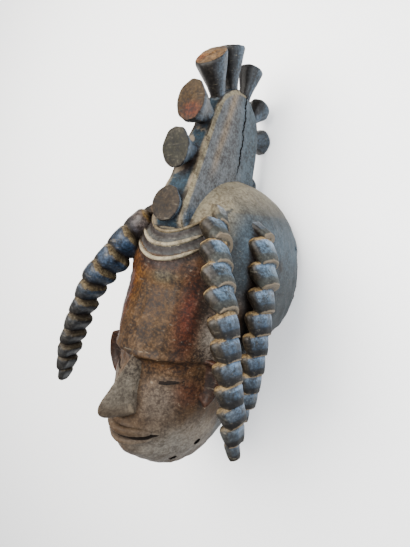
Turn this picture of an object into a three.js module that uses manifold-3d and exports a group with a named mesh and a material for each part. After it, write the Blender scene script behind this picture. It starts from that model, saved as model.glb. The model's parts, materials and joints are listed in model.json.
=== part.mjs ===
// A helmet mask carved from one block of wood: a hollow hood with a long-nosed face, three raised
// headband ridges, an arched crest plate with nine flared knobs, two ears and four hanging braids.
//
// It is drawn upright, in millimetres: +X is the mask's own left, +Y its back and +Z its crown, with
// the origin at the lowest point of the chin. At the end it is laid on its back, face up.

import * as THREE from 'three';
import { mergeVertices } from 'three/addons/utils/BufferGeometryUtils.js';
import Module from 'manifold-3d';

const wasm = await Module();
wasm.setup();

// Driving dimensions

// The hood is the upper half of an ellipsoid, and the face hangs from its widest line.
const HOOD = { halfWidth: 95, halfLength: 132, height: 121, centreY: 112, centreZ: 221 };

// Plan sections of the face at rising heights: how far it comes forward, where it is widest, and
// its half width there.
const FACE_SECTIONS = [
  { z: 0, front: 14, centre: 24, half: 6 },
  { z: 5, front: -4, centre: 28, half: 29 },
  { z: 18, front: -22, centre: 36, half: 43.5 },
  { z: 38, front: -38, centre: 46, half: 55 },
  { z: 64, front: -48, centre: 56, half: 64 },
  { z: 100, front: -46, centre: 70, half: 74 },
  { z: 134, front: -41, centre: 84, half: 81 },
  { z: 146, front: -42, centre: 90, half: 84 },
  { z: 180, front: -34, centre: 108, half: 92 },
  { z: 221, front: -20, centre: 112, half: 95 },
];

const WALL = 14;
const BROW_HEIGHT = 142;

// Ridges of the headband: their height in the middle and at the ends, their half span and size.
const BROW_BANDS = [
  { middle: 244, ends: 259, halfSpan: 42, width: 3.4 },
  { middle: 259, ends: 275, halfSpan: 42, width: 3.4 },
  { middle: 273, ends: 292, halfSpan: 40, width: 3 },
];

// An ear is a leaf, pointed below, that stands out sideways and is swept back a little: its size,
// the middle of its back face, and the rim and depth of the hollow in its front.
const EAR = { width: 30, height: 54, thickness: 12, x: 66.5, y: 13, z: 119, rim: 4, hollow: 5, sweep: 0.1 };

// An eye is a narrow slit that rises inwards through the wall.
const EYE = {
  x: 39, y: -23, z: 116.5, halfWidth: 15, halfDepth: 34, halfHeight: 1.4, turn: 0.66, slant: 0.7,
};

// The rim of the opening, seen from the side: from under the chin, up behind the ears, along the
// hood's lower edge and round its corner up to the crown.
const RIM_LINE = [
  [-4, -8], [20, 2], [45, 16], [66, 42], [80, 84], [92, 126], [110, 154], [144, 164], [172, 170],
  [184, 187], [175, 218], [171, 246], [178, 264], [179, 300], [176, 360],
];

// The crest plate, seen from the side, and how its half thickness falls from foot to top.
const CREST_LINE = [
  [8, 268], [-2, 291], [17, 332], [31, 360], [45, 388], [66, 424], [92, 440], [120, 442],
  [145, 427], [155, 402], [151, 366], [147, 336], [145, 300],
];
const CREST_FOOT = { z: 290, halfThickness: 23 };
const CREST_TOP = { z: 440, halfThickness: 11.5 };

// Each knob stands on the plate's edge: where its root and its end face are in the side view, and
// the end face's half width across the plate and along its edge.
const KNOBS = [
  { root: [20, 293], end: [-11, 303], across: 19, along: 21 },
  { root: [34, 361], end: [-3, 361], across: 18.5, along: 22.5 },
  { root: [66, 402], end: [16, 414], across: 19.5, along: 24 },
  { root: [76, 420], end: [47, 471], across: 20, along: 20 },
  { root: [100, 434], end: [86, 493], across: 18, along: 18 },
  { root: [130, 436], end: [141, 484], across: 17, along: 18 },
  { root: [148, 418], end: [177, 446], across: 16, along: 18 },
  { root: [148, 398], end: [193, 404], across: 16, along: 18 },
  { root: [144, 342], end: [172, 339], across: 13, along: 13 },
];

// The mask's left front and left rear braid: the centre line from the root on the hood to the tip,
// the half width at both ends, and the number of collars.
const FRONT_BRAID = {
  path: [[38, 42, 298], [50, 15, 276], [65, -3, 248], [87, -20, 209], [96, -24, 182], [110, -30, 134],
    [118, -30, 103], [121, -31, 75]],
  root: { out: 14, side: 22 },
  tip: { out: 12.5, side: 15 },
  collars: 12,
};
const REAR_BRAID = {
  path: [[60, 86, 292], [80, 77, 267], [90, 68, 232], [93, 62, 196], [95, 56, 160], [96, 50, 120],
    [94, 42, 76]],
  root: { out: 13, side: 19 },
  tip: { out: 12, side: 14 },
  collars: 10,
};

// Small holes bored through the wall near the rim, on both sides.
const RIM_HOLES = [
  { x: 36, y: -3, z: 23, radius: 2.8 },
  { x: 52, y: 18, z: 40, radius: 3.4 },
  { x: 86, y: 162, z: 193, radius: 2.4 },
  { x: 80, y: 160, z: 262, radius: 2.4 },
];

// On its back the mask touches the floor with the hood's rear corners and one rear knob, and this
// much is worn flat there.
const WORN_FLAT = 1.2;

// Slivers left along the joins that are thinner than this are smoothed away.
const SHORTEST_EDGE = 0.05;
const CREST_STARTS = 350;

// Solids

function solidFrom(geometry) {
  const bare = geometry.index ? geometry.toNonIndexed() : geometry.clone();
  bare.deleteAttribute('normal');
  bare.deleteAttribute('uv');
  const merged = mergeVertices(bare, 1e-4);
  const solid = new wasm.Manifold(new wasm.Mesh({
    numProp: 3,
    vertProperties: new Float32Array(merged.attributes.position.array),
    triVerts: new Uint32Array(merged.index.array),
  }));
  if (solid.volume() <= 0) throw new Error('a solid is empty or inside out');
  return solid;
}

function geometryFrom(solid) {
  const mesh = solid.getMesh();
  const geometry = new THREE.BufferGeometry();
  geometry.setAttribute('position', new THREE.BufferAttribute(new Float32Array(mesh.vertProperties), 3));
  geometry.setIndex(new THREE.BufferAttribute(new Uint32Array(mesh.triVerts), 1));
  geometry.computeVertexNormals();
  return geometry;
}

// Moves every vertex of a geometry to the place that the rule gives for it.
function reshape(geometry, rule) {
  const position = geometry.attributes.position;
  const point = new THREE.Vector3();
  for (let i = 0; i < position.count; i += 1) {
    point.fromBufferAttribute(position, i);
    rule(point, i);
    position.setXYZ(i, point.x, point.y, point.z);
  }
  return geometry;
}

function mirrored(geometry) {
  const copy = geometry.index ? geometry.toNonIndexed() : geometry.clone();
  const position = copy.attributes.position;
  const flipped = new Float32Array(position.array.length);
  for (let i = 0; i < position.count; i += 1) {
    const source = i % 3 === 0 ? i : i + (i % 3 === 1 ? 1 : -1);
    flipped.set([-position.getX(source), position.getY(source), position.getZ(source)], 3 * i);
  }
  copy.setAttribute('position', new THREE.BufferAttribute(flipped, 3));
  return copy;
}

function onBothSides(geometry) {
  return solidFrom(geometry).add(solidFrom(mirrored(geometry)));
}

// A smooth curve through one column of a table of sections, read at height z.
function column(rows, key, z) {
  const last = rows.length - 1;
  const slope = (i) => (i === 0 || i === last ? 0
    : (rows[i + 1][key] - rows[i - 1][key]) / (rows[i + 1].z - rows[i - 1].z));
  if (z <= rows[0].z) return rows[0][key];
  const i = Math.min(rows.findIndex((row) => row.z >= z) - 1, last - 1);
  const span = rows[i + 1].z - rows[i].z;
  const t = (z - rows[i].z) / span;
  const blend = t * t * (3 - 2 * t);
  return rows[i][key] * (1 - blend) + rows[i + 1][key] * blend
    + span * (slope(i) * t * (1 - t) ** 2 - slope(i + 1) * t * t * (1 - t));
}

// The plan section of the head at height z.
function sectionAt(z) {
  if (z >= HOOD.centreZ) {
    const scale = Math.sqrt(Math.max(0, 1 - ((z - HOOD.centreZ) / HOOD.height) ** 2));
    return {
      front: HOOD.centreY - HOOD.halfLength * scale,
      centre: HOOD.centreY,
      half: HOOD.halfWidth * scale,
      back: HOOD.centreY + HOOD.halfLength * scale,
    };
  }
  const centre = column(FACE_SECTIONS, 'centre', z);
  const lowest = FACE_SECTIONS[0].z;
  const fade = Math.sqrt((z - lowest) / (HOOD.centreZ - lowest));
  return {
    front: column(FACE_SECTIONS, 'front', z),
    centre,
    half: column(FACE_SECTIONS, 'half', z),
    back: centre + HOOD.halfLength * fade,
  };
}

const bump = (distance, width) => Math.exp(-((distance / width) ** 2));

// How far the carving of the face stands out of the plain section, at x across and height z.
function faceRelief(x, z) {
  const side = Math.abs(x);
  const underBrow = THREE.MathUtils.smoothstep(BROW_HEIGHT - z, -1, 5);
  const socket = -11 * underBrow * bump(side - 34, 26) * bump(z - 128, 17);
  const browEdge = 2.5 * bump(z - BROW_HEIGHT - 2, 5) * bump(side - 36, 34);
  const muzzle = 7 * bump(side, 24) * bump(z - 62, 18);
  const chin = 8 * bump(side, 26) * bump(z - 36, 14);
  return socket + browEdge + muzzle + chin;
}

// A point of the head's skin at height z and angle around it, 0 at the front.
function skinPoint(z, angle, inset = 0) {
  const section = sectionAt(z);
  const half = Math.max(section.half - inset, 0);
  const ahead = Math.cos(angle) > 0;
  const square = ahead ? 1 : 0.8;
  const x = half * Math.sign(Math.sin(angle)) * Math.abs(Math.sin(angle)) ** square;
  const reach = ahead ? section.centre - section.front : section.back - section.centre;
  const depth = Math.sign(Math.cos(angle)) * Math.abs(Math.cos(angle)) ** square;
  let y = section.centre - Math.max(reach - inset, 0) * depth;
  if (inset === 0 && ahead) y -= faceRelief(x, z) * depth;
  return new THREE.Vector3(x, y, z);
}

// The skin's y at x across and height z, on the front of the head.
function frontOfSkin(x, z) {
  const section = sectionAt(z);
  return skinPoint(z, Math.asin(THREE.MathUtils.clamp(x / section.half, -1, 1))).y;
}

// Head

// A closed head-shaped skin, with its rows of points at the given heights and closer columns in
// front. A sphere gives the mesh, and its poles are the crown and the chin.
function headSkin(heights, columns, inset) {
  const rows = heights.length + 1;
  const top = HOOD.centreZ + HOOD.height - inset;
  const bottom = FACE_SECTIONS[0].z + inset;
  const sphere = new THREE.SphereGeometry(1, columns, rows);
  const crowdFront = 0.45;
  return reshape(sphere, (point, index) => {
    const row = Math.floor(index / (columns + 1));
    const step = index % (columns + 1);
    const turn = (2 * Math.PI * (step % columns)) / columns - Math.PI;
    const angle = turn - crowdFront * Math.sin(turn);
    if (row === 0 || row === rows) {
      const z = row === 0 ? top : bottom;
      point.set(0, sectionAt(z).centre, z);
    } else {
      point.copy(skinPoint(heights[row - 1], angle, inset));
    }
  });
}

function headHeights(rowsAbove, rowsBelow, inset) {
  const top = HOOD.height - inset;
  const bottom = FACE_SECTIONS[0].z + inset;
  const above = Array.from({ length: rowsAbove }, (_, i) => (
    HOOD.centreZ + top * Math.cos((Math.PI / 2) * ((i + 1) / (rowsAbove + 1)))));
  const below = Array.from({ length: rowsBelow }, (_, i) => (
    HOOD.centreZ - (HOOD.centreZ - bottom) * (i / rowsBelow)));
  return [...above, ...below];
}

// Everything behind and below the rim line.
function rimCutter() {
  const reach = 160;
  const rim = new THREE.SplineCurve(RIM_LINE.map(([y, z]) => new THREE.Vector2(y, z))).getPoints(32);
  const outline = new THREE.Shape([
    ...rim, new THREE.Vector2(420, 360), new THREE.Vector2(420, -80), new THREE.Vector2(-4, -80),
  ]);
  const block = new THREE.ExtrudeGeometry(outline, { depth: 2 * reach, bevelEnabled: false });
  return reshape(block, (point) => point.set(point.z - reach, point.x, point.y));
}

// A rounded bar that follows a path, for ridges and lips.
function bar(points, across, out, steps, sides = 6) {
  const outline = new THREE.Shape(Array.from({ length: sides }, (_, i) => {
    const angle = (2 * Math.PI * i) / sides;
    return new THREE.Vector2(out * Math.cos(angle), across * Math.sin(angle));
  }));
  const path = new THREE.CatmullRomCurve3(points);
  return new THREE.ExtrudeGeometry(outline, { extrudePath: path, steps, bevelEnabled: false });
}

// A ridge on the skin that sags in the middle.
function browBand({ middle, ends, halfSpan, width }) {
  const count = 9;
  const points = Array.from({ length: count }, (_, i) => {
    const x = halfSpan * ((2 * i) / (count - 1) - 1);
    const z = middle + (ends - middle) * (x / halfSpan) ** 2;
    return new THREE.Vector3(x, frontOfSkin(x, z), z);
  });
  return bar(points, width, width, 12);
}

// The long wedge of the nose: a narrow bridge, flat sides and flared wings.
function nose() {
  const levels = [
    { z: 150, front: -38, half: 5 },
    { z: 142, front: -45, half: 7 },
    { z: 122, front: -65, half: 9.5 },
    { z: 102, front: -86, half: 12.5 },
    { z: 94, front: -87, half: 14 },
    { z: 86, front: -78, half: 14.5 },
    { z: 78, front: -56, half: 11 },
  ];
  const sides = 10;
  const tube = new THREE.CylinderGeometry(1, 1, 1, sides, levels.length - 1);
  return reshape(tube, (point) => {
    const level = levels[Math.round((0.5 - point.y) * (levels.length - 1))];
    const root = -22;
    const centre = (level.front + root) / 2;
    const across = point.x;
    const forward = point.z;
    const narrow = forward > 0 ? 1 - 0.6 * forward : 1;
    point.set(level.half * across * narrow, centre - ((root - level.front) / 2) * forward, level.z);
  });
}

function lips() {
  const lipPath = (z, rise, proud) => [-27, -18, -9, 0, 9, 18, 27].map((x) => {
    const height = z + rise * (x / 27) ** 2;
    return new THREE.Vector3(x, frontOfSkin(x, height) - proud * (1 - (x / 32) ** 2), height);
  });
  return [bar(lipPath(66, -1, 1), 5, 4.5, 12), bar(lipPath(53, 5, 0), 4.5, 4.5, 12)];
}

function rimHole({ x, y, z, radius }) {
  const hole = new THREE.CylinderGeometry(radius, radius, 60, 8);
  hole.rotateZ(Math.PI / 2);
  hole.translate(x, y, z);
  return hole;
}

function mouthCut() {
  const path = [-29, -20, -10, 0, 10, 20, 29].map((x) => {
    const height = 59.5 + 2 * (x / 29) ** 2;
    return new THREE.Vector3(x, frontOfSkin(x, height) - 5 * (1 - (x / 34) ** 2), height);
  });
  return bar(path, 1.6, 7, 12);
}

// The slit leans about its middle, which lies near the skin.
function eyeSlit() {
  const slit = new THREE.SphereGeometry(1, 10, 6);
  slit.scale(EYE.halfWidth, EYE.halfDepth, EYE.halfHeight);
  reshape(slit, (point) => point.setZ(point.z + EYE.slant * point.y));
  slit.rotateZ(EYE.turn);
  slit.translate(EYE.x, EYE.y, EYE.z);
  return slit;
}

function leafOutline(width, height) {
  const leaf = new THREE.Shape();
  leaf.moveTo(0, -0.55 * height);
  leaf.quadraticCurveTo(0.75 * width, -0.1 * height, 0.4 * width, 0.4 * height);
  leaf.quadraticCurveTo(0, 0.55 * height, -0.4 * width, 0.4 * height);
  leaf.quadraticCurveTo(-0.75 * width, -0.1 * height, 0, -0.55 * height);
  return leaf;
}

// A leaf across the head, as thick as an ear, with its back face at y.
function earLeaf(width, height, y) {
  const leaf = new THREE.ExtrudeGeometry(leafOutline(width, height), {
    depth: EAR.thickness, bevelEnabled: false, curveSegments: 4,
  });
  leaf.rotateX(Math.PI / 2);
  leaf.rotateZ(EAR.sweep);
  leaf.translate(EAR.x, y, EAR.z);
  return leaf;
}

function ears() {
  const whole = earLeaf(EAR.width, EAR.height, EAR.y);
  const bottomOfHollow = EAR.y - EAR.thickness + EAR.hollow;
  const hollow = earLeaf(EAR.width - 2 * EAR.rim, EAR.height - 3 * EAR.rim, bottomOfHollow);
  return onBothSides(whole).subtract(onBothSides(hollow));
}

// Crest

function crestHalfThickness(z) {
  const t = THREE.MathUtils.clamp((z - CREST_FOOT.z) / (CREST_TOP.z - CREST_FOOT.z), -0.2, 1);
  return THREE.MathUtils.lerp(CREST_FOOT.halfThickness, CREST_TOP.halfThickness, t);
}

// The arched plate, with chamfered edges and thinner towards the top.
function crestPlate() {
  const line = new THREE.SplineCurve(CREST_LINE.map(([y, z]) => new THREE.Vector2(y, z)));
  const chamfer = 5;
  const plate = new THREE.ExtrudeGeometry(new THREE.Shape(line.getPoints(26)), {
    depth: 1, bevelEnabled: true, bevelThickness: 0.5, bevelSize: chamfer, bevelSegments: 1,
  });
  return reshape(plate, (point) => {
    const across = 2 * (point.z - 0.5);
    point.set(0.5 * across * crestHalfThickness(point.y), point.x, point.y);
  });
}

// A knob: a faceted neck that flares to a flat, round-edged end face.
function knob({ root, end, across, along }) {
  const axis = new THREE.Vector3(0, end[0] - root[0], end[1] - root[1]);
  const length = axis.length();
  const profile = [
    [0, 0], [0.42, 0], [0.6, 0.45], [1, 0.92], [0.9, 1], [0, 1.03],
  ].map(([radius, height]) => new THREE.Vector2(radius, height * length));
  const turned = new THREE.LatheGeometry(profile, 8);
  const place = new THREE.Matrix4().makeBasis(
    new THREE.Vector3(1, 0, 0),
    axis.clone().normalize(),
    new THREE.Vector3(1, 0, 0).cross(axis.clone().normalize()),
  );
  turned.scale(across, 1, along);
  turned.applyMatrix4(place);
  turned.translate(0, root[0], root[1]);
  return turned;
}

// Braids

// The last stretch of a braid narrows to this share of its width. Its collars slope upwards to the
// outside by this slope at the root and half as much at the tip. Where it hangs free, its inner side
// is cut flat at this share of its width.
const BRAID_END = { from: 0.86, share: 0.6 };
const COLLAR_SLOPE = 0.32;
const INNER_SIDE = { from: 0.35, to: 0.58, share: 0.6 };

// A braid is a row of collars, each widest at its upper ledge and narrower below.
function braid({ path, root, tip, collars }) {
  const curve = new THREE.CatmullRomCurve3(path.map((place) => new THREE.Vector3(...place)));
  const sides = 8;
  const rings = [{ at: 0, scale: 0.4 }];
  for (let i = 0; i < collars; i += 1) {
    const start = collarStart(i, collars);
    const next = collarStart(i + 1, collars);
    rings.push({ at: THREE.MathUtils.lerp(start, next, 0.06), scale: 0.8 });
    rings.push({ at: THREE.MathUtils.lerp(start, next, 0.2), scale: 1 });
    rings.push({ at: THREE.MathUtils.lerp(start, next, 0.5), scale: 0.97 });
  }
  rings.push({ at: 0.985, scale: 0.62 });
  rings.push({ at: 1, scale: 0.3 });
  const tube = new THREE.CylinderGeometry(1, 1, 1, sides, rings.length - 1);
  return reshape(tube, (point) => {
    const ring = rings[Math.round((0.5 - point.y) * (rings.length - 1))];
    const centre = curve.getPointAt(ring.at);
    const along = curve.getTangentAt(ring.at);
    const outward = new THREE.Vector3(1, 0, 0).addScaledVector(along, -along.x).normalize();
    const sideways = new THREE.Vector3().crossVectors(along, outward).normalize();
    const narrowing = THREE.MathUtils.smoothstep(ring.at, BRAID_END.from, 1);
    const scale = ring.scale * THREE.MathUtils.lerp(1, BRAID_END.share, narrowing);
    const free = THREE.MathUtils.smoothstep(ring.at, INNER_SIDE.from, INNER_SIDE.to);
    const flat = -THREE.MathUtils.lerp(1, INNER_SIDE.share, free);
    const out = Math.max(point.x, flat) * scale * THREE.MathUtils.lerp(root.out, tip.out, ring.at);
    const side = point.z * scale * THREE.MathUtils.lerp(root.side, tip.side, ring.at);
    const rise = COLLAR_SLOPE * (1 - ring.at / 2) * out;
    point.copy(centre).addScaledVector(outward, out).addScaledVector(sideways, side)
      .addScaledVector(along, -rise);
  });
}

// The collars are longer near the root.
function collarStart(index, collars) {
  const t = index / collars;
  return t * (1.3 - 0.3 * t);
}

// The whole mask, upright

function carvedMask() {
  const skin = solidFrom(headSkin(headHeights(8, 22, 0), 36, 0));
  const added = [
    solidFrom(nose()),
    ...lips().map(solidFrom),
    ...BROW_BANDS.map((band) => solidFrom(browBand(band))),
    solidFrom(crestPlate()),
    ...KNOBS.map((size) => solidFrom(knob(size))),
    ears(),
    onBothSides(braid(FRONT_BRAID)),
    onBothSides(braid(REAR_BRAID)),
  ];
  const removed = [
    solidFrom(headSkin(headHeights(6, 12, WALL), 24, WALL)),
    solidFrom(mouthCut()),
    onBothSides(eyeSlit()),
    ...RIM_HOLES.map((hole) => onBothSides(rimHole(hole))),
  ];
  const block = added.reduce((whole, piece) => whole.add(piece), skin.subtract(solidFrom(rimCutter())));
  return removed.reduce((whole, piece) => whole.subtract(piece), block);
}

// How deep a point lies towards the floor when the mask lies on its back with this lean.
const depthOf = (point, lean) => point.y * Math.cos(lean) - point.z * Math.sin(lean);

// The lean at which the hood and the crest reach equally deep.
function restingLean(geometry) {
  const position = geometry.attributes.position;
  const points = Array.from({ length: position.count }, (_, i) => (
    new THREE.Vector3().fromBufferAttribute(position, i)));
  const deepest = (part, lean) => Math.max(...part.map((point) => depthOf(point, lean)));
  const hood = points.filter((point) => point.z < CREST_STARTS);
  const crest = points.filter((point) => point.z >= CREST_STARTS);
  let [low, high] = [-0.3, 0.6];
  for (let step = 0; step < 30; step += 1) {
    const middle = (low + high) / 2;
    if (deepest(crest, middle) > deepest(hood, middle)) low = middle;
    else high = middle;
  }
  return { lean: low, depth: deepest(hood, low) };
}

// The half space under the floor, as a block in the upright mask's place.
function floorBlock({ lean, depth }) {
  const size = 1200;
  const block = new THREE.BoxGeometry(size, size, size);
  block.translate(0, depth - WORN_FLAT + size / 2, 0);
  block.rotateX(-lean);
  return block;
}

const wood = new THREE.MeshStandardMaterial({ color: 0x5c5048, roughness: 0.75, metalness: 0 });
const uprightMask = carvedMask();
const rest = restingLean(geometryFrom(uprightMask));
const worn = uprightMask.subtract(solidFrom(floorBlock(rest))).simplify(SHORTEST_EDGE);
const mask = new THREE.Mesh(geometryFrom(worn), wood);
mask.name = 'carved_mask';

// The face turns up, and the group moves to the middle of the mask's outline on the floor.
const lying = new THREE.Group();
lying.add(mask);
lying.rotation.x = rest.lean - Math.PI / 2;

const group = new THREE.Group();
group.add(lying);
group.updateMatrixWorld(true);
const bounds = new THREE.Box3().setFromObject(group, true);
lying.position.set(0, -(bounds.min.y + bounds.max.y) / 2, -bounds.min.z);

export default group;
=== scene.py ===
"""A helmet mask carved from one block of wood, lying on its back on a pale floor.

The shapes are worked out upright, in millimetres, with the origin at the lowest point of the chin:
X is the mask's own left, Y its back and Z its crown. place() then lays them down, in metres.
"""

import json
import math
from itertools import chain

import bpy
import numpy as np
from mathutils import Matrix, Vector
from mathutils.bvhtree import BVHTree

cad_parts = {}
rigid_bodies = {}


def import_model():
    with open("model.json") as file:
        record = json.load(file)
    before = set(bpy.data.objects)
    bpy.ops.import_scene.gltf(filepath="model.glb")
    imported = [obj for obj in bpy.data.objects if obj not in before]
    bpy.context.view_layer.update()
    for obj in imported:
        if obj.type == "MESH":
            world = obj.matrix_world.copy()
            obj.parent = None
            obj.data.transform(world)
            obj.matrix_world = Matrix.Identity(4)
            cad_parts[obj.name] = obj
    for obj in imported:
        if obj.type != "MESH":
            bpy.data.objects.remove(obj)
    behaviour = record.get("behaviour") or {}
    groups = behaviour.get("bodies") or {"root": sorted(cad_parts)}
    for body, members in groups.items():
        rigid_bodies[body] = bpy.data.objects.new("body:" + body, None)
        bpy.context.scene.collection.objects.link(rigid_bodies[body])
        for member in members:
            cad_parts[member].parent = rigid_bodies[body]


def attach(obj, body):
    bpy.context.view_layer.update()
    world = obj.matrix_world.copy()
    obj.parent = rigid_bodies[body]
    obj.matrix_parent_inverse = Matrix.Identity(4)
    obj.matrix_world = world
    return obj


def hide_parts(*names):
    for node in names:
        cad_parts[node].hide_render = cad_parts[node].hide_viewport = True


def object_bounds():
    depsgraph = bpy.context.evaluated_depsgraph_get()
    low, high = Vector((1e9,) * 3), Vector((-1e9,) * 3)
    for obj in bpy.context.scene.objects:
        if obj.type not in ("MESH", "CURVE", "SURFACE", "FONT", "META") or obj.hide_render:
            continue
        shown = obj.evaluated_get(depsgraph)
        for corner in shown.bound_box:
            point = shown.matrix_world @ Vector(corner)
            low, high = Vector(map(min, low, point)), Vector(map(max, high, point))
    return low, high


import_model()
CAD_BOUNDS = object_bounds()

bl_info = {
    "name": "Carved Helmet Mask",
    "version": (1, 0, 0),
    "blender": (4, 5, 0),
    "location": "View3D > Sidebar > Helmet Mask",
    "description": "Carves a helmet mask with its crest, braids and weathered paint, and sets its stage",
    "category": "Object",
}

# How the upright mask is laid down: its lean from lying level, and the place of its origin.
LEAN = 0.0591302
LYING_PLACE = (0.0, -252.208191, 170.674278)

# Plan sections of the face at rising heights: foremost line, widest line and half width.
FACE_HEIGHTS = [0, 5, 18, 38, 64, 100, 134, 146, 180, 221]
FACE_FRONTS = [14, -4, -22, -38, -48, -46, -41, -42, -34, -20]
FACE_CENTRES = [24, 28, 36, 46, 56, 70, 84, 90, 108, 112]
FACE_HALVES = [6, 29, 43.5, 55, 64, 74, 81, 84, 92, 95]

# Share of the head's rows that lie over its widest line, and how close its columns are in front.
DOME_ROWS = 0.32
FRONT_CROWDING = 0.45

HOOD_CENTRE = (112.0, 221.0)
BROW_HEIGHT = 142.0

# Ridges of the headband: height in the middle, height at the ends, half span, half width.
BROW_BANDS = [(244, 259, 42, 2.6), (259, 275, 42, 2.6), (273, 292, 40, 2.2)]

# The rim of the opening and the crest's edge, seen from the side, as (y, z).
RIM_LINE = [
    (-4, -8), (20, 2), (45, 16), (66, 42), (80, 84), (92, 126), (110, 154), (144, 164),
    (172, 170), (184, 187), (175, 218), (171, 246), (178, 264), (179, 300), (176, 360),
]
CREST_LINE = [
    (8, 268), (-2, 291), (17, 332), (31, 360), (45, 388), (66, 424), (92, 440), (120, 442),
    (145, 427), (155, 402), (151, 366), (147, 336), (145, 300),
]
CREST_FOOT_HEIGHT = 290.0
CREST_TOP_HEIGHT = 440.0

# Crest knobs: root (y, z), end face (y, z), half width across the plate and along its edge.
KNOBS = [
    ((20, 293), (-11, 303), 19, 21),
    ((34, 361), (-3, 361), 18.5, 22.5),
    ((66, 402), (16, 414), 19.5, 24),
    ((76, 420), (47, 471), 20, 20),
    ((100, 434), (86, 493), 18, 18),
    ((130, 436), (141, 484), 17, 18),
    ((148, 418), (177, 446), 16, 18),
    ((148, 398), (193, 404), 16, 18),
    ((144, 342), (172, 339), 13, 13),
]

FRONT_BRAID = [(38, 42, 298), (50, 15, 276), (65, -3, 248), (87, -20, 209), (96, -24, 182),
               (110, -30, 134), (118, -30, 103), (121, -31, 75)]
REAR_BRAID = [(60, 86, 292), (80, 77, 267), (90, 68, 232), (93, 62, 196), (95, 56, 160),
              (96, 50, 120), (94, 42, 76)]
# Half widths of a braid, outwards and along the head, at its root and its tip.
FRONT_ROOT, FRONT_TIP, REAR_TIP = (14, 22), (12.5, 15), (13, 17)
# The left and the right rear braid: its side, how far back it is shifted, and its root's half widths.
REAR_BRAIDS = ((1, -8, (13, 23)), (-1, 4, (13, 17)))

# A collar's outline down to its neck, as (radius, distance along the braid), where its bands of cut
# facets end and those of its notch start, and how many different collars are cut.
COLLAR_PROFILE = [(0.5, 0.0), (0.66, 0.0), (0.78, 0.03), (0.88, 0.09), (0.955, 0.17), (1.0, 0.27),
                  (1.01, 0.36), (0.99, 0.47), (0.96, 0.6), (0.92, 0.73), (0.87, 0.86)]
FACET_END = 8
NOTCH_START = 11
COLLAR_SHAPES = 3

# Small holes through the wall near the rim: place and radius, and half the length of their bores.
RIM_HOLES = [((36, -3, 23), 3.2), ((52, 18, 40), 4.0), ((86, 162, 193), 2.4), ((80, 160, 262), 2.4)]
HOLE_REACH = 16

# The middle of an ear's front, how wide the ear is, and its rings as (depth, size of the outline).
EAR_PLACE = (66.5, 1.0, 119.0)
EAR_WIDTH = 30.0
EAR_STEPS = [(12, 0.7), (11.4, 0.86), (9, 0.97), (5, 1.0), (1.6, 1.0), (0.4, 0.96), (0, 0.9),
             (0, 0.82), (1.2, 0.74), (3.4, 0.68), (4.6, 0.5), (4.8, 0.25)]

# An eye's slit: its middle, half depth and half height, and then its turn and how it rises inwards
# and to its outer end.
EYE_PLACE = (39, -23, 116.5)
EYE_DEPTH = 34
EYE_OPENING = 0.16
EYE_LIE = (0.66, 0.7, 0.085)

# The nose at falling heights: height, foremost line and half width, and how far back its root is.
NOSE_HEIGHTS = [150, 142, 122, 102, 94, 86, 78]
NOSE_FRONTS = [-38, -45, -65, -86, -87, -78, -56]
NOSE_HALVES = [5, 7, 9.5, 12.5, 14, 14.5, 11]
NOSE_ROOT = -22.0

# Lines across the mouth: half width, height, rise to the ends, and how far and how wide they stand
# out of the skin.
UPPER_LIP = (30, 66, -1, 1, 32)
LOWER_LIP = (30, 53, 5, 0, 32)
MOUTH = (35, 59.5, 2, 5, 38)

# The split in the crest's left side, from the top down, as (y, z).
CREST_SPLIT = [(120, 449), (117, 430), (118, 418), (113, 402), (114, 390), (109, 376),
               (107, 362), (101, 347)]

# A knob's outline, as (radius, height), and how many of its bands belong to its side.
KNOB_PROFILE = [
    (0.42, 0.0), (0.45, 0.15), (0.51, 0.3), (0.6, 0.45), (0.71, 0.58), (0.82, 0.7), (0.91, 0.81),
    (0.975, 0.89), (1.0, 0.93), (0.985, 0.965), (0.94, 0.99), (0.88, 1.0), (0.7, 1.005),
    (0.5, 1.01), (0.3, 1.012), (0.12, 1.015),
]
KNOB_SIDE_BANDS = 11
# How much the end face slants in each of the three knob shapes, and which shape each knob has.
KNOB_SLANTS = (0.0, 0.05, 0.1)
KNOB_SHAPES = (1, 0, 1, 2, 0, 0, 1, 0, 1)

# Zones of the finished surface, kept as material numbers while the solids are joined.
(CAP, FACE, BANDS, BRAIDS, LIT_FACETS, SHADED_NOTCHES, LEDGES, PLATE, KNOB_SIDES, KNOB_ENDS, EARS, INSIDE,
 SLITS) = range(13)
HEAD_ZONES = (CAP, FACE)
COLLAR_SIDES = (BRAIDS, LIT_FACETS)
COLLAR_ZONES = (BRAIDS, LIT_FACETS, LEDGES)
CREST_FOOT_ZONES = (CAP, PLATE, KNOB_SIDES, *COLLAR_ZONES)

# The join, in metres: the least number of faces of a whole result, how wide the edges against the
# block are rounded, how far the mask stays over the floor, and what counts as lying on it.
FEWEST_FACES = 20000
EDGE_ROUNDING = 0.002
FLOOR_GAP = 0.00005
FLAT_HEIGHT = 0.0006

# Edges between faces that turn further than this are shaded sharp.
SHARP_ANGLE = math.radians(42)

# The rays that look for hollows: how many, how far they go and how high over the surface they
# start, in metres.
RAYS = 14
RAY_REACH = 0.016
RAY_LIFT = 0.0004

# Seeds of the random cuts of the crest and of the braids.
CREST_SEED = 11
BRAID_SEED = 23

# The camera, in upright mm: its place, and the ways to its right, down and ahead.
CAMERA_PLACE = (270.746, -342.240, 294.837)
CAMERA_RIGHT = (0.829718, 0.549161, 0.099953)
CAMERA_DOWN = (0.163445, -0.067808, -0.984219)
CAMERA_AHEAD = (-0.533717, 0.832961, -0.146019)

# What the lights shine on, and each soft light: its place, width in metres, the setting that holds
# its power, and its tone.
LIT_PLACE = (0, 60, 230)
LIGHTS = {
    "main light": ((-200, -750, 560), 0.9, "key", (1.0, 0.97, 0.92)),
    "side light": ((900, -300, 500), 0.8, "side", (0.9, 0.95, 1.0)),
}
ROOM_TONE = (0.93, 0.96, 1.0)


# Sizes and colours that a user would change

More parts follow.
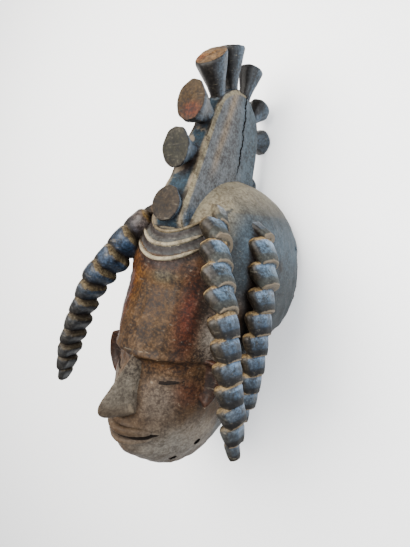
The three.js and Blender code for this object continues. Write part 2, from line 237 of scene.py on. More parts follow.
def length(name, description, default, low=0.0001, high=1.0):
    return bpy.props.FloatProperty(
        name=name, description=description, default=default, min=low, max=high,
        subtype="DISTANCE", unit="LENGTH", precision=4)


def share(name, description, default):
    return bpy.props.FloatProperty(
        name=name, description=description, default=default, min=0, max=1, subtype="FACTOR")


def colour(name, description, default):
    return bpy.props.FloatVectorProperty(
        name=name, description=description, default=default, min=0, max=1, size=3, subtype="COLOR")


def number(name, description, default, low, high):
    return bpy.props.IntProperty(
        name=name, description=description, default=default, min=low, max=high)


def power(name, description, default):
    return bpy.props.FloatProperty(
        name=name, description=description, default=default, min=0, unit="POWER")


class MaskHeadSettings(bpy.types.PropertyGroup):
    half_width: length("Half width", "Half the width of the hood", 0.095)
    half_length: length("Half length", "Half the length of the hood, front to back", 0.132)
    height: length("Dome height", "Height of the hood above its widest line", 0.121)
    wall: length("Wall", "Thickness of the wood", 0.014)
    lip_size: length("Lip size", "Half height of the lips", 0.005)
    eye_width: length("Eye width", "Half width of the eye slits", 0.0135)
    ear_height: length("Ear height", "Height of the leaf-shaped ears", 0.054)
    columns: number("Columns", "Points around the head", 230, 24, 600)
    rows: number("Rows", "Points from the crown to the chin", 200, 24, 600)


class MaskCrestSettings(bpy.types.PropertyGroup):
    foot: length("Half thickness at the foot", "Half thickness of the plate on the hood", 0.023)
    top: length("Half thickness at the top", "Half thickness of the plate at its top", 0.0115)
    chamfer: length("Chamfer", "Width of the plate's sloping edges", 0.005)
    split: length("Split", "Half width of the split in the plate", 0.0016)
    facets: number("Facets", "Cut faces around a knob", 9, 5, 24)


class MaskBraidSettings(bpy.types.PropertyGroup):
    front_collars: number("Front collars", "Collars on a front braid", 12, 4, 30)
    rear_collars: number("Rear collars", "Collars on a rear braid", 10, 4, 30)
    ledge_tilt: bpy.props.FloatProperty(
        name="Ledge tilt", description="How far the collars' ledges rise to the outside at the root",
        default=math.radians(30), min=0, max=0.6, subtype="ANGLE", unit="ROTATION")
    neck: share("Neck", "Width of a collar's narrow end against its rim", 0.76)


class MaskFinishSettings(bpy.types.PropertyGroup):
    mark_depth: length("Mark depth", "Depth of the adze marks", 0.0011)
    mark_size: length("Mark size", "Width of the adze marks", 0.011)
    wear: share("Wear", "How pale the raised edges are rubbed", 0.75)
    # Strength of the painted shade that darkens the hollows.
    grime: share("Grime", "How dark the hollows have become", 0.85)
    rubbed: colour("Rubbed edge", "Bare wood on the rubbed edges", (0.1, 0.076, 0.05))
    bare: colour("Bare wood", "Wood inside the hood", (0.23, 0.135, 0.07))
    seed: number("Seed", "Fixes the places of the adze marks", 7, 0, 1000)


class MaskStageSettings(bpy.types.PropertyGroup):
    floor: length("Floor", "Width of the floor", 9.0, 0.5, 60)
    floor_colour: colour("Floor colour", "Colour of the plain floor", (0.93, 0.93, 0.93))
    key: power("Main light", "Power of the large soft light", 40)
    side: power("Side light", "Power of the second soft light", 16)
    sky: bpy.props.FloatProperty(
        name="Room light", description="Strength of the light all around", default=1.0, min=0)
    lens: bpy.props.FloatProperty(
        name="Lens", description="Focal length of the camera", default=26.325, min=8, max=200,
        unit="CAMERA")


# Small helpers

def mm(value):
    """Millimetres of a size given in metres."""
    return value * 1000.0


def around(count):
    """Angles evenly spaced around a circle."""
    return 2 * math.pi * np.arange(count) / count


def place(points):
    """Upright millimetres to the lying mask's metres."""
    points = np.asarray(points, float)
    turn = LEAN - math.pi / 2
    c, s = math.cos(turn), math.sin(turn)
    x, y, z = points[..., 0], points[..., 1], points[..., 2]
    laid = np.stack([x, y * c - z * s, y * s + z * c], axis=-1)
    return (laid + np.array(LYING_PLACE)) / 1000.0


def upright(points):
    """The lying mask's metres back to upright millimetres."""
    moved = np.asarray(points, float) * 1000.0 - np.array(LYING_PLACE)
    turn = LEAN - math.pi / 2
    c, s = math.cos(turn), math.sin(turn)
    x, y, z = moved[..., 0], moved[..., 1], moved[..., 2]
    return np.stack([x, y * c + z * s, -y * s + z * c], axis=-1)


def upright_direction(direction):
    """A direction of the upright mask in the lying one."""
    return unit(place(direction) - place((0, 0, 0)))


def bump(distance, width):
    return np.exp(-((distance / width) ** 2))


def smooth(value, low, high):
    """0 below low, 1 above high, and a smooth step between them."""
    t = np.clip((value - low) / (high - low), 0, 1)
    return t * t * (3 - 2 * t)


def through(knots, values, at):
    """A smooth curve through values at rising knots, read at many places."""
    knots = np.asarray(knots, float)
    values = np.asarray(values, float)
    at = np.clip(np.asarray(at, float), knots[0], knots[-1])
    slopes = np.zeros(len(knots))
    slopes[1:-1] = (values[2:] - values[:-2]) / (knots[2:] - knots[:-2])
    i = np.clip(np.searchsorted(knots, at) - 1, 0, len(knots) - 2)
    span = knots[i + 1] - knots[i]
    t = (at - knots[i]) / span
    blend = t * t * (3 - 2 * t)
    return (values[i] * (1 - blend) + values[i + 1] * blend
            + span * (slopes[i] * t * (1 - t) ** 2 - slopes[i + 1] * t * t * (1 - t)))


def spline(points, count):
    """Evenly spaced points and directions along a smooth curve through the given points."""
    points = np.asarray(points, float)
    padded = np.vstack([2 * points[0] - points[1], points, 2 * points[-1] - points[-2]])
    dense = []
    for i in range(len(points) - 1):
        a, b, c, d = padded[i:i + 4]
        for t in np.linspace(0, 1, 24, endpoint=False):
            dense.append(0.5 * (2 * b + (c - a) * t + (2 * a - 5 * b + 4 * c - d) * t ** 2
                                + (3 * b - a - 3 * c + d) * t ** 3))
    dense = np.vstack([dense, points[-1]])
    run = np.concatenate([[0], np.cumsum(np.linalg.norm(np.diff(dense, axis=0), axis=1))])
    at = np.linspace(0, run[-1], count)
    line = np.stack([np.interp(at, run, dense[:, k]) for k in range(points.shape[1])], axis=1)
    along = np.gradient(line, axis=0)
    return line, along / np.linalg.norm(along, axis=1)[:, None]


def unit(vectors):
    return vectors / np.maximum(np.linalg.norm(vectors, axis=-1, keepdims=True), 1e-12)


# Solids while they are worked on

def rings_mesh(name, rings, zone, ends=None, lay=place):
    """A closed mesh through rings of points, its ends closed on the rings' middles.

    zone is one number, or one for the first end, each band between two rings and the last end, or
    one for each face of those.
    """
    rings = np.asarray(rings, float)
    count, sides = rings.shape[:2]
    first, last = ends if ends is not None else (rings[0].mean(0), rings[-1].mean(0))
    points = lay(np.vstack([rings.reshape(-1, 3), first, last]))
    zones = np.asarray(zone)
    zones = np.broadcast_to(zones[:, None] if zones.ndim == 1 else zones, (count + 1, sides))
    top, bottom = count * sides, count * sides + 1
    last_ring = (count - 1) * sides
    faces, kinds = [], []
    for s in range(sides):
        n = (s + 1) % sides
        faces.append((n, s, top))
        faces.append((last_ring + s, last_ring + n, bottom))
        kinds += [zones[0, s], zones[-1, s]]
        for r in range(count - 1):
            faces.append((r * sides + s, r * sides + n, (r + 1) * sides + n, (r + 1) * sides + s))
            kinds.append(zones[r + 1, s])
    return closed_mesh(name, points, faces, kinds)


def closed_mesh(name, points, faces, zones):
    """A mesh with a zone for each face, turned so that it faces outwards."""
    mesh = bpy.data.meshes.new(name)
    mesh.from_pydata(points.tolist(), [], faces)
    mesh.polygons.foreach_set("material_index", np.array(zones, np.int32))
    volume = enclosed(mesh)
    if abs(volume) < 1e-12:
        raise RuntimeError(f"{name} has no volume")
    if volume < 0:
        mesh.flip_normals()
    mesh.update()
    return mesh


def enclosed(mesh):
    """The volume inside a closed mesh, below 0 where it is inside out."""
    mesh.calc_loop_triangles()
    corners = values_of(mesh.loop_triangles, "vertices", 3, np.int32)
    a, b, c = places_of(mesh)[corners.T]
    return float(np.einsum("ij,ij->i", a, np.cross(b, c)).sum() / 6)


def values_of(items, field, columns=1, kind=np.float32):
    """One field of all of a mesh's points, edges, faces or corners."""
    values = np.empty(len(items) * columns, kind)
    items.foreach_get(field, values)
    return values.reshape(-1, columns) if columns > 1 else values


def keep_values(mesh, name, values, kind="FLOAT", domain="POINT"):
    """Keeps values in a named attribute of a mesh."""
    layer = mesh.attributes.new(name, kind, domain)
    field = {"FLOAT_VECTOR": "vector", "FLOAT_COLOR": "color"}.get(kind, "value")
    form = np.int32 if kind == "INT" else np.float32
    layer.data.foreach_set(field, np.ascontiguousarray(values, form).ravel())


def places_of(mesh):
    return values_of(mesh.vertices, "co", 3).astype(float)


def normals_of(mesh):
    return values_of(mesh.vertex_normals, "vector", 3).astype(float)


def edges_of(mesh):
    return values_of(mesh.edges, "vertices", 2, np.int32)


def move_points(mesh, places):
    mesh.vertices.foreach_set("co", places.astype(np.float32).ravel())
    mesh.update()


def working(mesh, group_name):
    """An object for a mesh in a working group, which is emptied when the mask is joined."""
    group = bpy.data.collections.get(group_name)
    if group is None:
        group = bpy.data.collections.new(group_name)
        bpy.context.scene.collection.children.link(group)
    obj = bpy.data.objects.new(mesh.name, mesh)
    group.objects.link(obj)
    return obj


def in_scene(name, data):
    obj = bpy.data.objects.new(name, data)
    bpy.context.scene.collection.objects.link(obj)
    return obj


def carve(name, rings, zone, group_name="Added"):
    working(rings_mesh(name, rings, zone), group_name)


def both_sides(name, rings, zone, group_name="Added"):
    """The same solid on the mask's left and right."""
    carve(name + " left", rings, zone, group_name)
    carve(name + " right", np.asarray(rings) * (-1, 1, 1), zone, group_name)


def keep_shape(name, rings, zones, group_name):
    """A shape to copy. An attribute keeps its zones, because a tree gives all faces one material."""
    mesh = rings_mesh(name, rings, zones, lay=np.asarray)
    kinds = values_of(mesh.polygons, "material_index", kind=np.int32)
    keep_values(mesh, "zone", kinds, "INT", "FACE")
    working(mesh, group_name)


def clear(group_name):
    group = bpy.data.collections[group_name]
    for obj in list(group.objects):
        mesh = obj.data
        bpy.data.objects.remove(obj)
        if mesh.users == 0:
            bpy.data.meshes.remove(mesh)
    bpy.data.collections.remove(group)


def plain(obj):
    """The evaluated shape of an object as a mesh of its own."""
    depsgraph = bpy.context.evaluated_depsgraph_get()
    depsgraph.update()
    mesh = bpy.data.meshes.new_from_object(
        obj.evaluated_get(depsgraph), preserve_all_data_layers=True, depsgraph=depsgraph)
    obj.modifiers.clear()
    return mesh


# Node trees

class Wire:
    """A socket of a node tree that takes part in sums as a number does."""

    def __init__(self, tree, socket):
        self.tree = tree
        self.socket = socket

    def sum(self, operation, *values):
        made = self.tree.nodes.new("ShaderNodeMath")
        made.operation = operation
        for socket, value in zip(made.inputs, values):
            connect(self.tree, socket, value)
        return Wire(self.tree, made.outputs[0])

    def __add__(self, other):
        return self.sum("ADD", self, other)

    def __radd__(self, other):
        return self.sum("ADD", other, self)

    def __sub__(self, other):
        return self.sum("SUBTRACT", self, other)

    def __rsub__(self, other):
        return self.sum("SUBTRACT", other, self)

    def __mul__(self, other):
        return self.sum("MULTIPLY", self, other)

    def __rmul__(self, other):
        return self.sum("MULTIPLY", other, self)

    def __rtruediv__(self, other):
        return self.sum("DIVIDE", other, self)

    def at_least(self, low):
        return self.sum("MAXIMUM", self, low)

    def between(self, low, high):
        """0 below low, 1 above high, smooth between."""
        made = self.tree.nodes.new("ShaderNodeMapRange")
        made.interpolation_type = "SMOOTHSTEP"
        for name, value in (("Value", self), ("From Min", low), ("From Max", high)):
            connect(self.tree, made.inputs[name], value)
        return Wire(self.tree, made.outputs[0])


def connect(tree, socket, value):
    if isinstance(value, Wire):
        tree.links.new(value.socket, socket)
    elif value is not None:
        socket.default_value = value


def add_node(tree, kind, settings=None, out=0, **inputs):
    """Any node: its settings first, then its sockets by name, with spaces as underscores."""
    made = tree.nodes.new(kind)
    for key, value in (settings or {}).items():
        setattr(made, key, value)
    for key, value in inputs.items():
        name = key.replace("_", " ")
        socket = next(s for s in made.inputs if s.name == name and s.enabled)
        connect(tree, socket, value)
    return Wire(tree, made.outputs[out])


def mixed(tree, share_of_second, first, second, blend="MIX"):
    """Two colours mixed."""
    made = tree.nodes.new("ShaderNodeMix")
    made.data_type = "RGBA"
    made.blend_type = blend
    connect(tree, made.inputs[0], share_of_second)
    for socket, value in ((made.inputs[6], first), (made.inputs[7], second)):
        connect(tree, socket, value if isinstance(value, Wire) else (*value, 1.0))
    return Wire(tree, made.outputs[2])


def noise(tree, where, scale, detail, roughness=0.5):
    return add_node(tree, "ShaderNodeTexNoise", Vector=where, Scale=scale, Detail=detail,
                    Roughness=roughness)


def vectors(tree, operation, *values):
    """Vectors added, multiplied or scaled."""
    made = tree.nodes.new("ShaderNodeVectorMath")
    made.operation = operation
    for socket, value in zip([socket for socket in made.inputs if socket.enabled], values):
        connect(tree, socket, value)
    return Wire(tree, made.outputs[0])


def stored(tree, name, kind):
    """A named attribute of the points that a tree of shapes works on."""
    return add_node(tree, "GeometryNodeInputNamedAttribute", {"data_type": kind}, Name=name)


def new_tree(name, inputs):
    """A tree of shapes and the wires from its inputs, given as (name, kind, default)."""
    tree = bpy.data.node_groups.new(name, "GeometryNodeTree")
    for key, kind, default in (("Geometry", "Geometry", None), *inputs, ("Material", "Material", None)):
        made = tree.interface.new_socket(key, in_out="INPUT", socket_type="NodeSocket" + kind)
        if default is not None:
            made.default_value = default
    tree.interface.new_socket("Geometry", in_out="OUTPUT", socket_type="NodeSocketGeometry")
    start = tree.nodes.new("NodeGroupInput")
    return tree, [Wire(tree, socket) for socket in start.outputs[:len(inputs) + 2]]


def end_tree(tree, shape, material):
    """Makes copies real, gives the shape its material and ends the tree."""
    real = add_node(tree, "GeometryNodeRealizeInstances", Geometry=shape)
    done = add_node(tree, "GeometryNodeSetMaterial", Geometry=real, Material=material)
    connect(tree, tree.nodes.new("NodeGroupOutput").inputs[0], done)
    return tree


def copies_tree():
    """Puts copies of the shapes of a group on points, turned and sized as the points say."""
    tree, (points, shapes, size, material) = new_tree(
        "Placed Copies", (("Shapes", "Collection", None), ("Size", "Float", 1.0)))
    choices = add_node(tree, "GeometryNodeCollectionInfo", {"transform_space": "ORIGINAL"},
                       Collection=shapes, Separate_Children=True, Reset_Children=True)
    rotation = add_node(tree, "FunctionNodeEulerToRotation", Euler=stored(tree, "turn", "FLOAT_VECTOR"))
    copies = add_node(tree, "GeometryNodeInstanceOnPoints", Points=points, Instance=choices,
                      Pick_Instance=True, Instance_Index=stored(tree, "choice", "INT"),
                      Rotation=rotation,
                      Scale=vectors(tree, "SCALE", stored(tree, "size", "FLOAT_VECTOR"), size))
    return end_tree(tree, copies, material)


def marks_tree():
    """Dishes the surface in with overlapping adze marks and slow unevenness, never outwards."""
    tree, (shape, depth, width, uneven, seed, material) = new_tree(
        "Adze Marks", (("Depth", "Float", 0.001), ("Width", "Float", 0.011),
                       ("Unevenness", "Float", 0.0012), ("Seed", "Float", 7.0)))
    shift = add_node(tree, "ShaderNodeCombineXYZ", X=seed, Y=seed * 0.37, Z=seed * 0.61)
    moved = vectors(tree, "ADD", add_node(tree, "GeometryNodeInputPosition"), shift)
    long_way = vectors(tree, "MULTIPLY", moved, (1.0, 0.6, 1.0))
    dish = add_node(tree, "ShaderNodeTexVoronoi", {"feature": "F1"}, Vector=long_way, Scale=1 / width)
    deep = (1 - dish * dish * 1.6).at_least(0.0)
    inward = stored(tree, "marks", "FLOAT") * (depth * deep + uneven * noise(tree, moved, 34.0, 2.0))
    offset = vectors(tree, "SCALE", add_node(tree, "GeometryNodeInputNormal"), inward * -1.0)
    dented = add_node(tree, "GeometryNodeSetPosition", Geometry=shape, Offset=offset)
    return end_tree(tree, dented, material)


def run_tree(obj, tree, **values):
    """Sets a tree's inputs by their sockets' identifiers and gives its result as a plain mesh."""
    modifier = obj.modifiers.new(tree.name, "NODES")
    modifier.node_group = tree
    named = {item.name: item.identifier for item in tree.interface.items_tree
             if item.item_type == "SOCKET" and item.in_out == "INPUT"}
    for name, value in values.items():
        modifier[named[name]] = value
    obj.update_tag()
    return plain(obj)


# Head

def section(z):
    """Front, widest line, half width and back of the head at heights z."""
    z = np.asarray(z, float)
    head = bpy.context.scene.mask_head
    reach, half, rise = mm(head.half_length), mm(head.half_width), mm(head.height)
    centre_y, centre_z = HOOD_CENTRE
    scale = np.sqrt(np.clip(1 - ((z - centre_z) / rise) ** 2, 0, 1))
    above = z >= centre_z
    centre = through(FACE_HEIGHTS, FACE_CENTRES, z)
    fade = np.sqrt(np.clip(z / centre_z, 0, 1))
    front = np.where(above, centre_y - reach * scale, through(FACE_HEIGHTS, FACE_FRONTS, z))
    middle = np.where(above, centre_y, centre)
    wide = np.where(above, half * scale, through(FACE_HEIGHTS, FACE_HALVES, z))
    back = np.where(above, centre_y + reach * scale, centre + reach * fade)
    return front, middle, wide, back


def face_relief(x, z):
    """How far the carving of the face stands out of the plain section."""
    side = np.abs(x)
    under_brow = smooth(BROW_HEIGHT - z, -1, 5)
    socket = -11 * under_brow * bump(side - 34, 26) * bump(z - 128, 17)
    brow_edge = 2.5 * bump(z - BROW_HEIGHT - 2, 5) * bump(side - 36, 34)
    muzzle = 7 * bump(side, 24) * bump(z - 62, 18)
    chin = 8 * bump(side, 26) * bump(z - 36, 14)
    lids = 1.6 * bump(side - 40, 15) * (bump(z - 115, 3.5) + bump(z - 127, 3.5))
    cheek_fold = -1.8 * bump(side - 24 - 0.25 * (100 - z), 4) * bump(z - 82, 14)
    brow_line = -1.5 * bump(z - BROW_HEIGHT + 3.5, 2.4) * bump(side - 36, 30)
    return socket + brow_edge + muzzle + chin + lids + cheek_fold + brow_line


def skin_point(z, angle, inset=0.0):
    """Points of the head's skin at heights z and angles around it, 0 at the front."""
    front, centre, half, back = section(z)
    half = np.maximum(half - inset, 0)
    ahead = np.cos(angle) > 0
    square = np.where(ahead, 1.0, 0.8)
    x = half * np.sign(np.sin(angle)) * np.abs(np.sin(angle)) ** square
    reach = np.where(ahead, centre - front, back - centre)
    depth = np.sign(np.cos(angle)) * np.abs(np.cos(angle)) ** square
    y = centre - np.maximum(reach - inset, 0) * depth
    if inset == 0:
        y = y - np.where(ahead, face_relief(x, z) * depth, 0)
    return np.stack(np.broadcast_arrays(x, y, z), axis=-1)


def front_of_skin(x, z):
    half = section(z)[2]
    return skin_point(z, np.arcsin(np.clip(x / half, -1, 1)))[..., 1]


def head_skin(name, rows, columns, inset, zone):
    head = bpy.context.scene.mask_head
    centre_z = HOOD_CENTRE[1]
    above = int(rows * DOME_ROWS)
    below = rows - above
    rise = mm(head.height) - inset
    i = np.arange(1, above + 1)
    high = centre_z + rise * np.cos(math.pi / 2 * i / (above + 1))
    low = centre_z - (centre_z - inset) * (np.arange(below) / below)
    heights = np.concatenate([high, low])
    turn = around(columns) - math.pi
    angles = turn - FRONT_CROWDING * np.sin(turn)
    rings = skin_point(heights[:, None], angles[None, :], inset)
    ends = [[0, section(z)[1], z] for z in (centre_z + rise, inset)]
    return rings_mesh(name, rings, zone, ends)


def rim_cutter():
    """Everything behind and below the rim line, as a prism through the width."""
    rim, _ = spline(RIM_LINE, 90)
    outline = np.vstack([rim, [(420, 360), (420, -80), (-4, -80)]])
    widths = np.linspace(-160, 160, 3)
    points = np.array([[(x, y, z) for y, z in outline] for x in widths])
    return prism("rim", points, INSIDE)


def prism(name, sections, zone):
    """A solid between flat sections that aren't convex, so their ends are cut into triangles."""
    count, sides = sections.shape[:2]
    faces = [tuple(range(sides)), tuple(range((count - 1) * sides, count * sides))[::-1]]
    for r in range(count - 1):
        for s in range(sides):
            n = (s + 1) % sides
            faces.append((r * sides + n, r * sides + s, (r + 1) * sides + s, (r + 1) * sides + n))
    return closed_mesh(name, place(sections.reshape(-1, 3)), faces, [zone] * len(faces))


def bar_rings(line, across, out):
    """Rings of a rounded bar that follows a line across the face."""
    line, along = spline(line, 60)
    up = unit(np.cross(along, np.cross((0, 0, 1.0), along)))
    ahead = unit(np.cross(up, along))
    turn = around(16)
    run = np.linspace(-1, 1, len(line))
    thick = (1 - 0.75 * np.abs(run) ** 6)[:, None, None]
    ring = (out * np.cos(turn)[None, :, None] * ahead[:, None, :]
            + across * np.sin(turn)[None, :, None] * up[:, None, :])
    return line[:, None, :] + ring * thick


def headband_ridge(middle, ends, half_span, width):
    x = half_span * np.linspace(-1, 1, 15)
    z = middle + (ends - middle) * (x / half_span) ** 2
    line = np.stack([x, front_of_skin(x, z), z], axis=1)
    return bar_rings(line, width, width)


def nose_rings():
    """The long wedge of the nose, from the bridge down to its tip and wings."""
    z = np.linspace(NOSE_HEIGHTS[0], NOSE_HEIGHTS[-1], 44)
    front = through(NOSE_HEIGHTS[::-1], NOSE_FRONTS[::-1], z)
    half = through(NOSE_HEIGHTS[::-1], NOSE_HALVES[::-1], z)
    centre = (front + NOSE_ROOT) / 2
    turn = around(40)
    forward, across = np.cos(turn), np.sin(turn)
    narrow = 1 - 0.6 * np.clip(forward, 0, 1)
    groove = 1 - 0.10 * bump(z[:, None] - 97, 6) * bump(forward - 0.35, 0.3)
    x = half[:, None] * across * narrow * groove
    y = centre[:, None] - ((NOSE_ROOT - front) / 2)[:, None] * forward
    return np.stack([x, y, np.broadcast_to(z[:, None], x.shape)], axis=-1)


def mouth_curve(half, middle, rise, proud, fade):
    """A line across the mouth that follows the skin and stands out of it in its middle."""
    x = np.linspace(-half, half, 15)
    z = middle + rise * (x / half) ** 2
    return np.stack([x, front_of_skin(x, z) - proud * (1 - (x / fade) ** 2), z], axis=1)


def ellipsoid_rings(middle, radii, turn_z, slant, rise):
    """Rings of an ellipsoid turned about the upright axis, that rises inwards and to its outer end."""
    polar = math.pi * (np.arange(16) + 0.5) / 16
    round_ = around(32)
    x = radii[0] * np.sin(polar)[:, None] * np.cos(round_)
    y = radii[1] * np.sin(polar)[:, None] * np.sin(round_)
    z = radii[2] * np.cos(polar)[:, None] + slant * y + rise * x
    c, s = math.cos(turn_z), math.sin(turn_z)
    return np.stack([x * c - y * s, x * s + y * c, z], axis=-1) + np.array(middle)


def leaf(width, height):
    """The outline of an ear, pointed below, as (along the head, up)."""
    corners = [((0, -0.55), (0.75, -0.1), (0.4, 0.4)), ((0.4, 0.4), (0, 0.55), (-0.4, 0.4)),
               ((-0.4, 0.4), (-0.75, -0.1), (0, -0.55))]
    outline = []
    for a, b, c in corners:
        for t in np.linspace(0, 1, 14, endpoint=False):
            outline.append([(1 - t) ** 2 * a[k] + 2 * t * (1 - t) * b[k] + t * t * c[k]
                            for k in (0, 1)])
    return np.array(outline) * (width, height)


def ear_rings(height):
    """An ear that stands out from the head, swept back a little, with a hollow in its front."""
    outline = leaf(EAR_WIDTH, height)
    middle = outline.mean(0)
    sweep = math.radians(6)
    out = np.array([math.cos(sweep), math.sin(sweep), 0.0])
    back = np.array([-math.sin(sweep), math.cos(sweep), 0.0])
    rings = []
    for depth, size in EAR_STEPS:
        flat = middle + (outline - middle) * size
        rings.append(np.array(EAR_PLACE) + depth * back + flat[:, :1] * out + flat[:, 1:] * (0, 0, 1))
    return rings


def rod_rings(middle, radius, half_length):
    turn = around(20)
    ring = np.stack([np.zeros(len(turn)), radius * np.cos(turn), radius * np.sin(turn)], axis=1)
    return [ring + np.array(middle) + np.array([x, 0, 0]) for x in (-half_length, half_length)]


class MASK_OT_head(bpy.types.Operator):
    """Carves the hollow hood with its face, headband and ears"""

    bl_idname = "mask.head"
    bl_label = "Carve the Head"

    def execute(self, context):
        head = context.scene.mask_head
        working(head_skin("head", head.rows, head.columns, 0.0, CAP), "Block")
        working(head_skin("hollow", 90, 90, mm(head.wall), INSIDE), "Removed")
        working(rim_cutter(), "Rim")
        carve("nose", nose_rings(), FACE)
        for number, (middle, ends, half_span, width) in enumerate(BROW_BANDS):
            rings = headband_ridge(middle, ends, half_span, width)
            carve(f"headband ridge {number}", rings, BANDS)
        lip = mm(head.lip_size)
        for name, curve, half_height, depth, zone, group_name in (
                ("upper lip", UPPER_LIP, lip, 4.5, FACE, "Added"),
                ("lower lip", LOWER_LIP, 0.9 * lip, 4.5, FACE, "Added"),
                ("mouth", MOUTH, 2.4, 7, SLITS, "Removed")):
            carve(name, bar_rings(mouth_curve(*curve), half_height, depth), zone, group_name)
        both_sides("ear", ear_rings(mm(head.ear_height)), EARS)
        slit = ellipsoid_rings(EYE_PLACE, (mm(head.eye_width), EYE_DEPTH, EYE_OPENING), *EYE_LIE)
        both_sides("eye slit", slit, SLITS, "Removed")
        for number, (middle, radius) in enumerate(RIM_HOLES):
            both_sides(f"rim hole {number}", rod_rings(middle, radius, HOLE_REACH), SLITS, "Removed")
        return {"FINISHED"}


# Crest

def crest_half_thickness(z):
    crest = bpy.context.scene.mask_crest
    t = np.clip((z - CREST_FOOT_HEIGHT) / (CREST_TOP_HEIGHT - CREST_FOOT_HEIGHT), -0.2, 1)
    return mm(crest.foot) + (mm(crest.top) - mm(crest.foot)) * t


def plate_outline(chamfer):
    """The plate's outer edge from the foot in front over the top to the foot behind, and its peak."""
    line, along = spline(CREST_LINE, 240)
    outline = line + chamfer * np.stack([-along[:, 1], along[:, 0]], axis=1)
    return outline, int(np.argmax(outline[:, 1]))


def plate_rings(chamfer):
    """Level rings of the arched plate, with sloping edges and a thinner top."""
    outline, peak = plate_outline(chamfer)
    front, back = outline[:peak + 1], outline[peak:][::-1]
    lowest, highest = 262.0, outline[peak, 1] - 0.05
    levels = lowest + (highest - lowest) * np.sin(math.pi / 2 * np.linspace(0, 1, 100))
    t = np.linspace(-1, 1, 50)
    across = 0.5 + 0.5 * np.sin(math.pi / 2 * t * 0.98) / math.sin(math.pi * 0.49)
    rings = []
    for z in levels:
        y_front = np.interp(z, front[:, 1], front[:, 0])
        y_back = np.interp(z, back[:, 1], back[:, 0])
        y = y_front + (y_back - y_front) * across
        gap = np.sqrt((y[:, None] - outline[None, :, 0]) ** 2 + (z - outline[None, :, 1]) ** 2).min(1)
        half = crest_half_thickness(z) * (0.8 + 0.2 * np.clip(gap / chamfer, 0, 1))
        near = np.stack([half, y, np.full(len(y), z)], axis=1)
        far = near[::-1] * (-1, 1, 1)
        edge = np.linspace(-1, 1, 6)[1:-1]
        back_edge = np.stack([-edge * half[-1], np.full(4, y[-1]), np.full(4, z)], axis=1)
        front_edge = np.stack([edge * half[0], np.full(4, y[0]), np.full(4, z)], axis=1)
        rings.append(np.vstack([near, back_edge, far, front_edge]))
    return rings


def cut_outline(random, facets, sides, low=0.93):
    """Radii of a roughly round outline that was cut with a few flat strokes."""
    angles = 2 * math.pi * (np.arange(facets) + random.uniform(-0.22, 0.22, facets)) / facets
    reach = random.uniform(low, 1.0, facets)
    facing = np.cos(around(sides)[:, None] - angles[None, :])
    return np.minimum((reach / np.maximum(facing, 0.2)).min(1), 1.0)


def knob_shape(facets, random, slant):
    """Rings and zones of a knob, one long and one in radius, that flares to a slanting end face."""
    sides = 48
    outline = cut_outline(random, facets, sides)
    turn = around(sides)
    rings = []
    for radius, height in KNOB_PROFILE:
        squarer = outline if height < 0.97 else 0.5 + 0.5 * outline
        tilt = random.normal(0, 0.006, sides) if 0.99 < height else 0.0
        across, along = radius * squarer * np.cos(turn), radius * squarer * np.sin(turn)
        lean = slant * smooth(height, 0.45, 0.93) * along
        rings.append(np.stack([across, along, height + lean - np.abs(tilt)], axis=1))
    end_bands = len(KNOB_PROFILE) + 1 - KNOB_SIDE_BANDS
    zones = [KNOB_SIDES] * KNOB_SIDE_BANDS + [KNOB_ENDS] * end_bands
    return rings, zones


def split_rings(half_width):
    """A jagged wedge along the split in the plate's near side."""
    line, _ = spline(CREST_SPLIT, 60)
    rings = []
    last = len(line) - 1
    for i, (y, z) in enumerate(line):
        jag = 1.1 * math.sin(2.7 * i) + 0.8 * math.sin(5.3 * i + 1)
        fade = min(1.0, 0.25 + 6 * min(i, last - i) / last)
        width = half_width * fade * (1 + 0.35 * math.sin(1.9 * i + 0.5))
        face = crest_half_thickness(z)
        floor = face - 8 * fade
        rings.append([(face + 3, y + jag - width, z), (face + 3, y + jag + width, z),
                      (floor, y + jag + 0.6 * width, z), (floor, y + jag - 0.6 * width, z)])
    return rings


class MASK_OT_crest(bpy.types.Operator):
    """Carves the arched plate on the crown and sets its flared knobs around the edge"""

    bl_idname = "mask.crest"
    bl_label = "Carve the Crest"

    def execute(self, context):
        crest = context.scene.mask_crest
        carve("crest plate", plate_rings(mm(crest.chamfer)), PLATE)
        carve("split", split_rings(mm(crest.split)), SLITS, "Removed")
        random = np.random.default_rng(CREST_SEED)
        for number, slant in enumerate(KNOB_SLANTS):
            shape = knob_shape(crest.facets, random, slant)
            keep_shape(f"knob shape {number}", *shape, "Knob Shapes")
        turns, sizes, places = [], [], []
        for root, end, across, along in KNOBS:
            axis = np.array([0, end[0] - root[0], end[1] - root[1]], float)
            reach = np.linalg.norm(axis)
            turns.append(turn_of((1, 0, 0), axis / reach))
            sizes.append((across, along, reach))
            places.append((0, *root))
        placed_copies("knobs", places, turns, sizes, KNOB_SHAPES, "Knob Shapes")
        return {"FINISHED"}


def turn_of(side, along):
    """Euler angles, in the lying mask, of a shape whose X runs to side and whose Z runs along."""
    x, z = upright_direction(side), upright_direction(along)
    return tuple(Matrix(np.array([x, np.cross(z, x), z]).T.tolist()).to_euler())


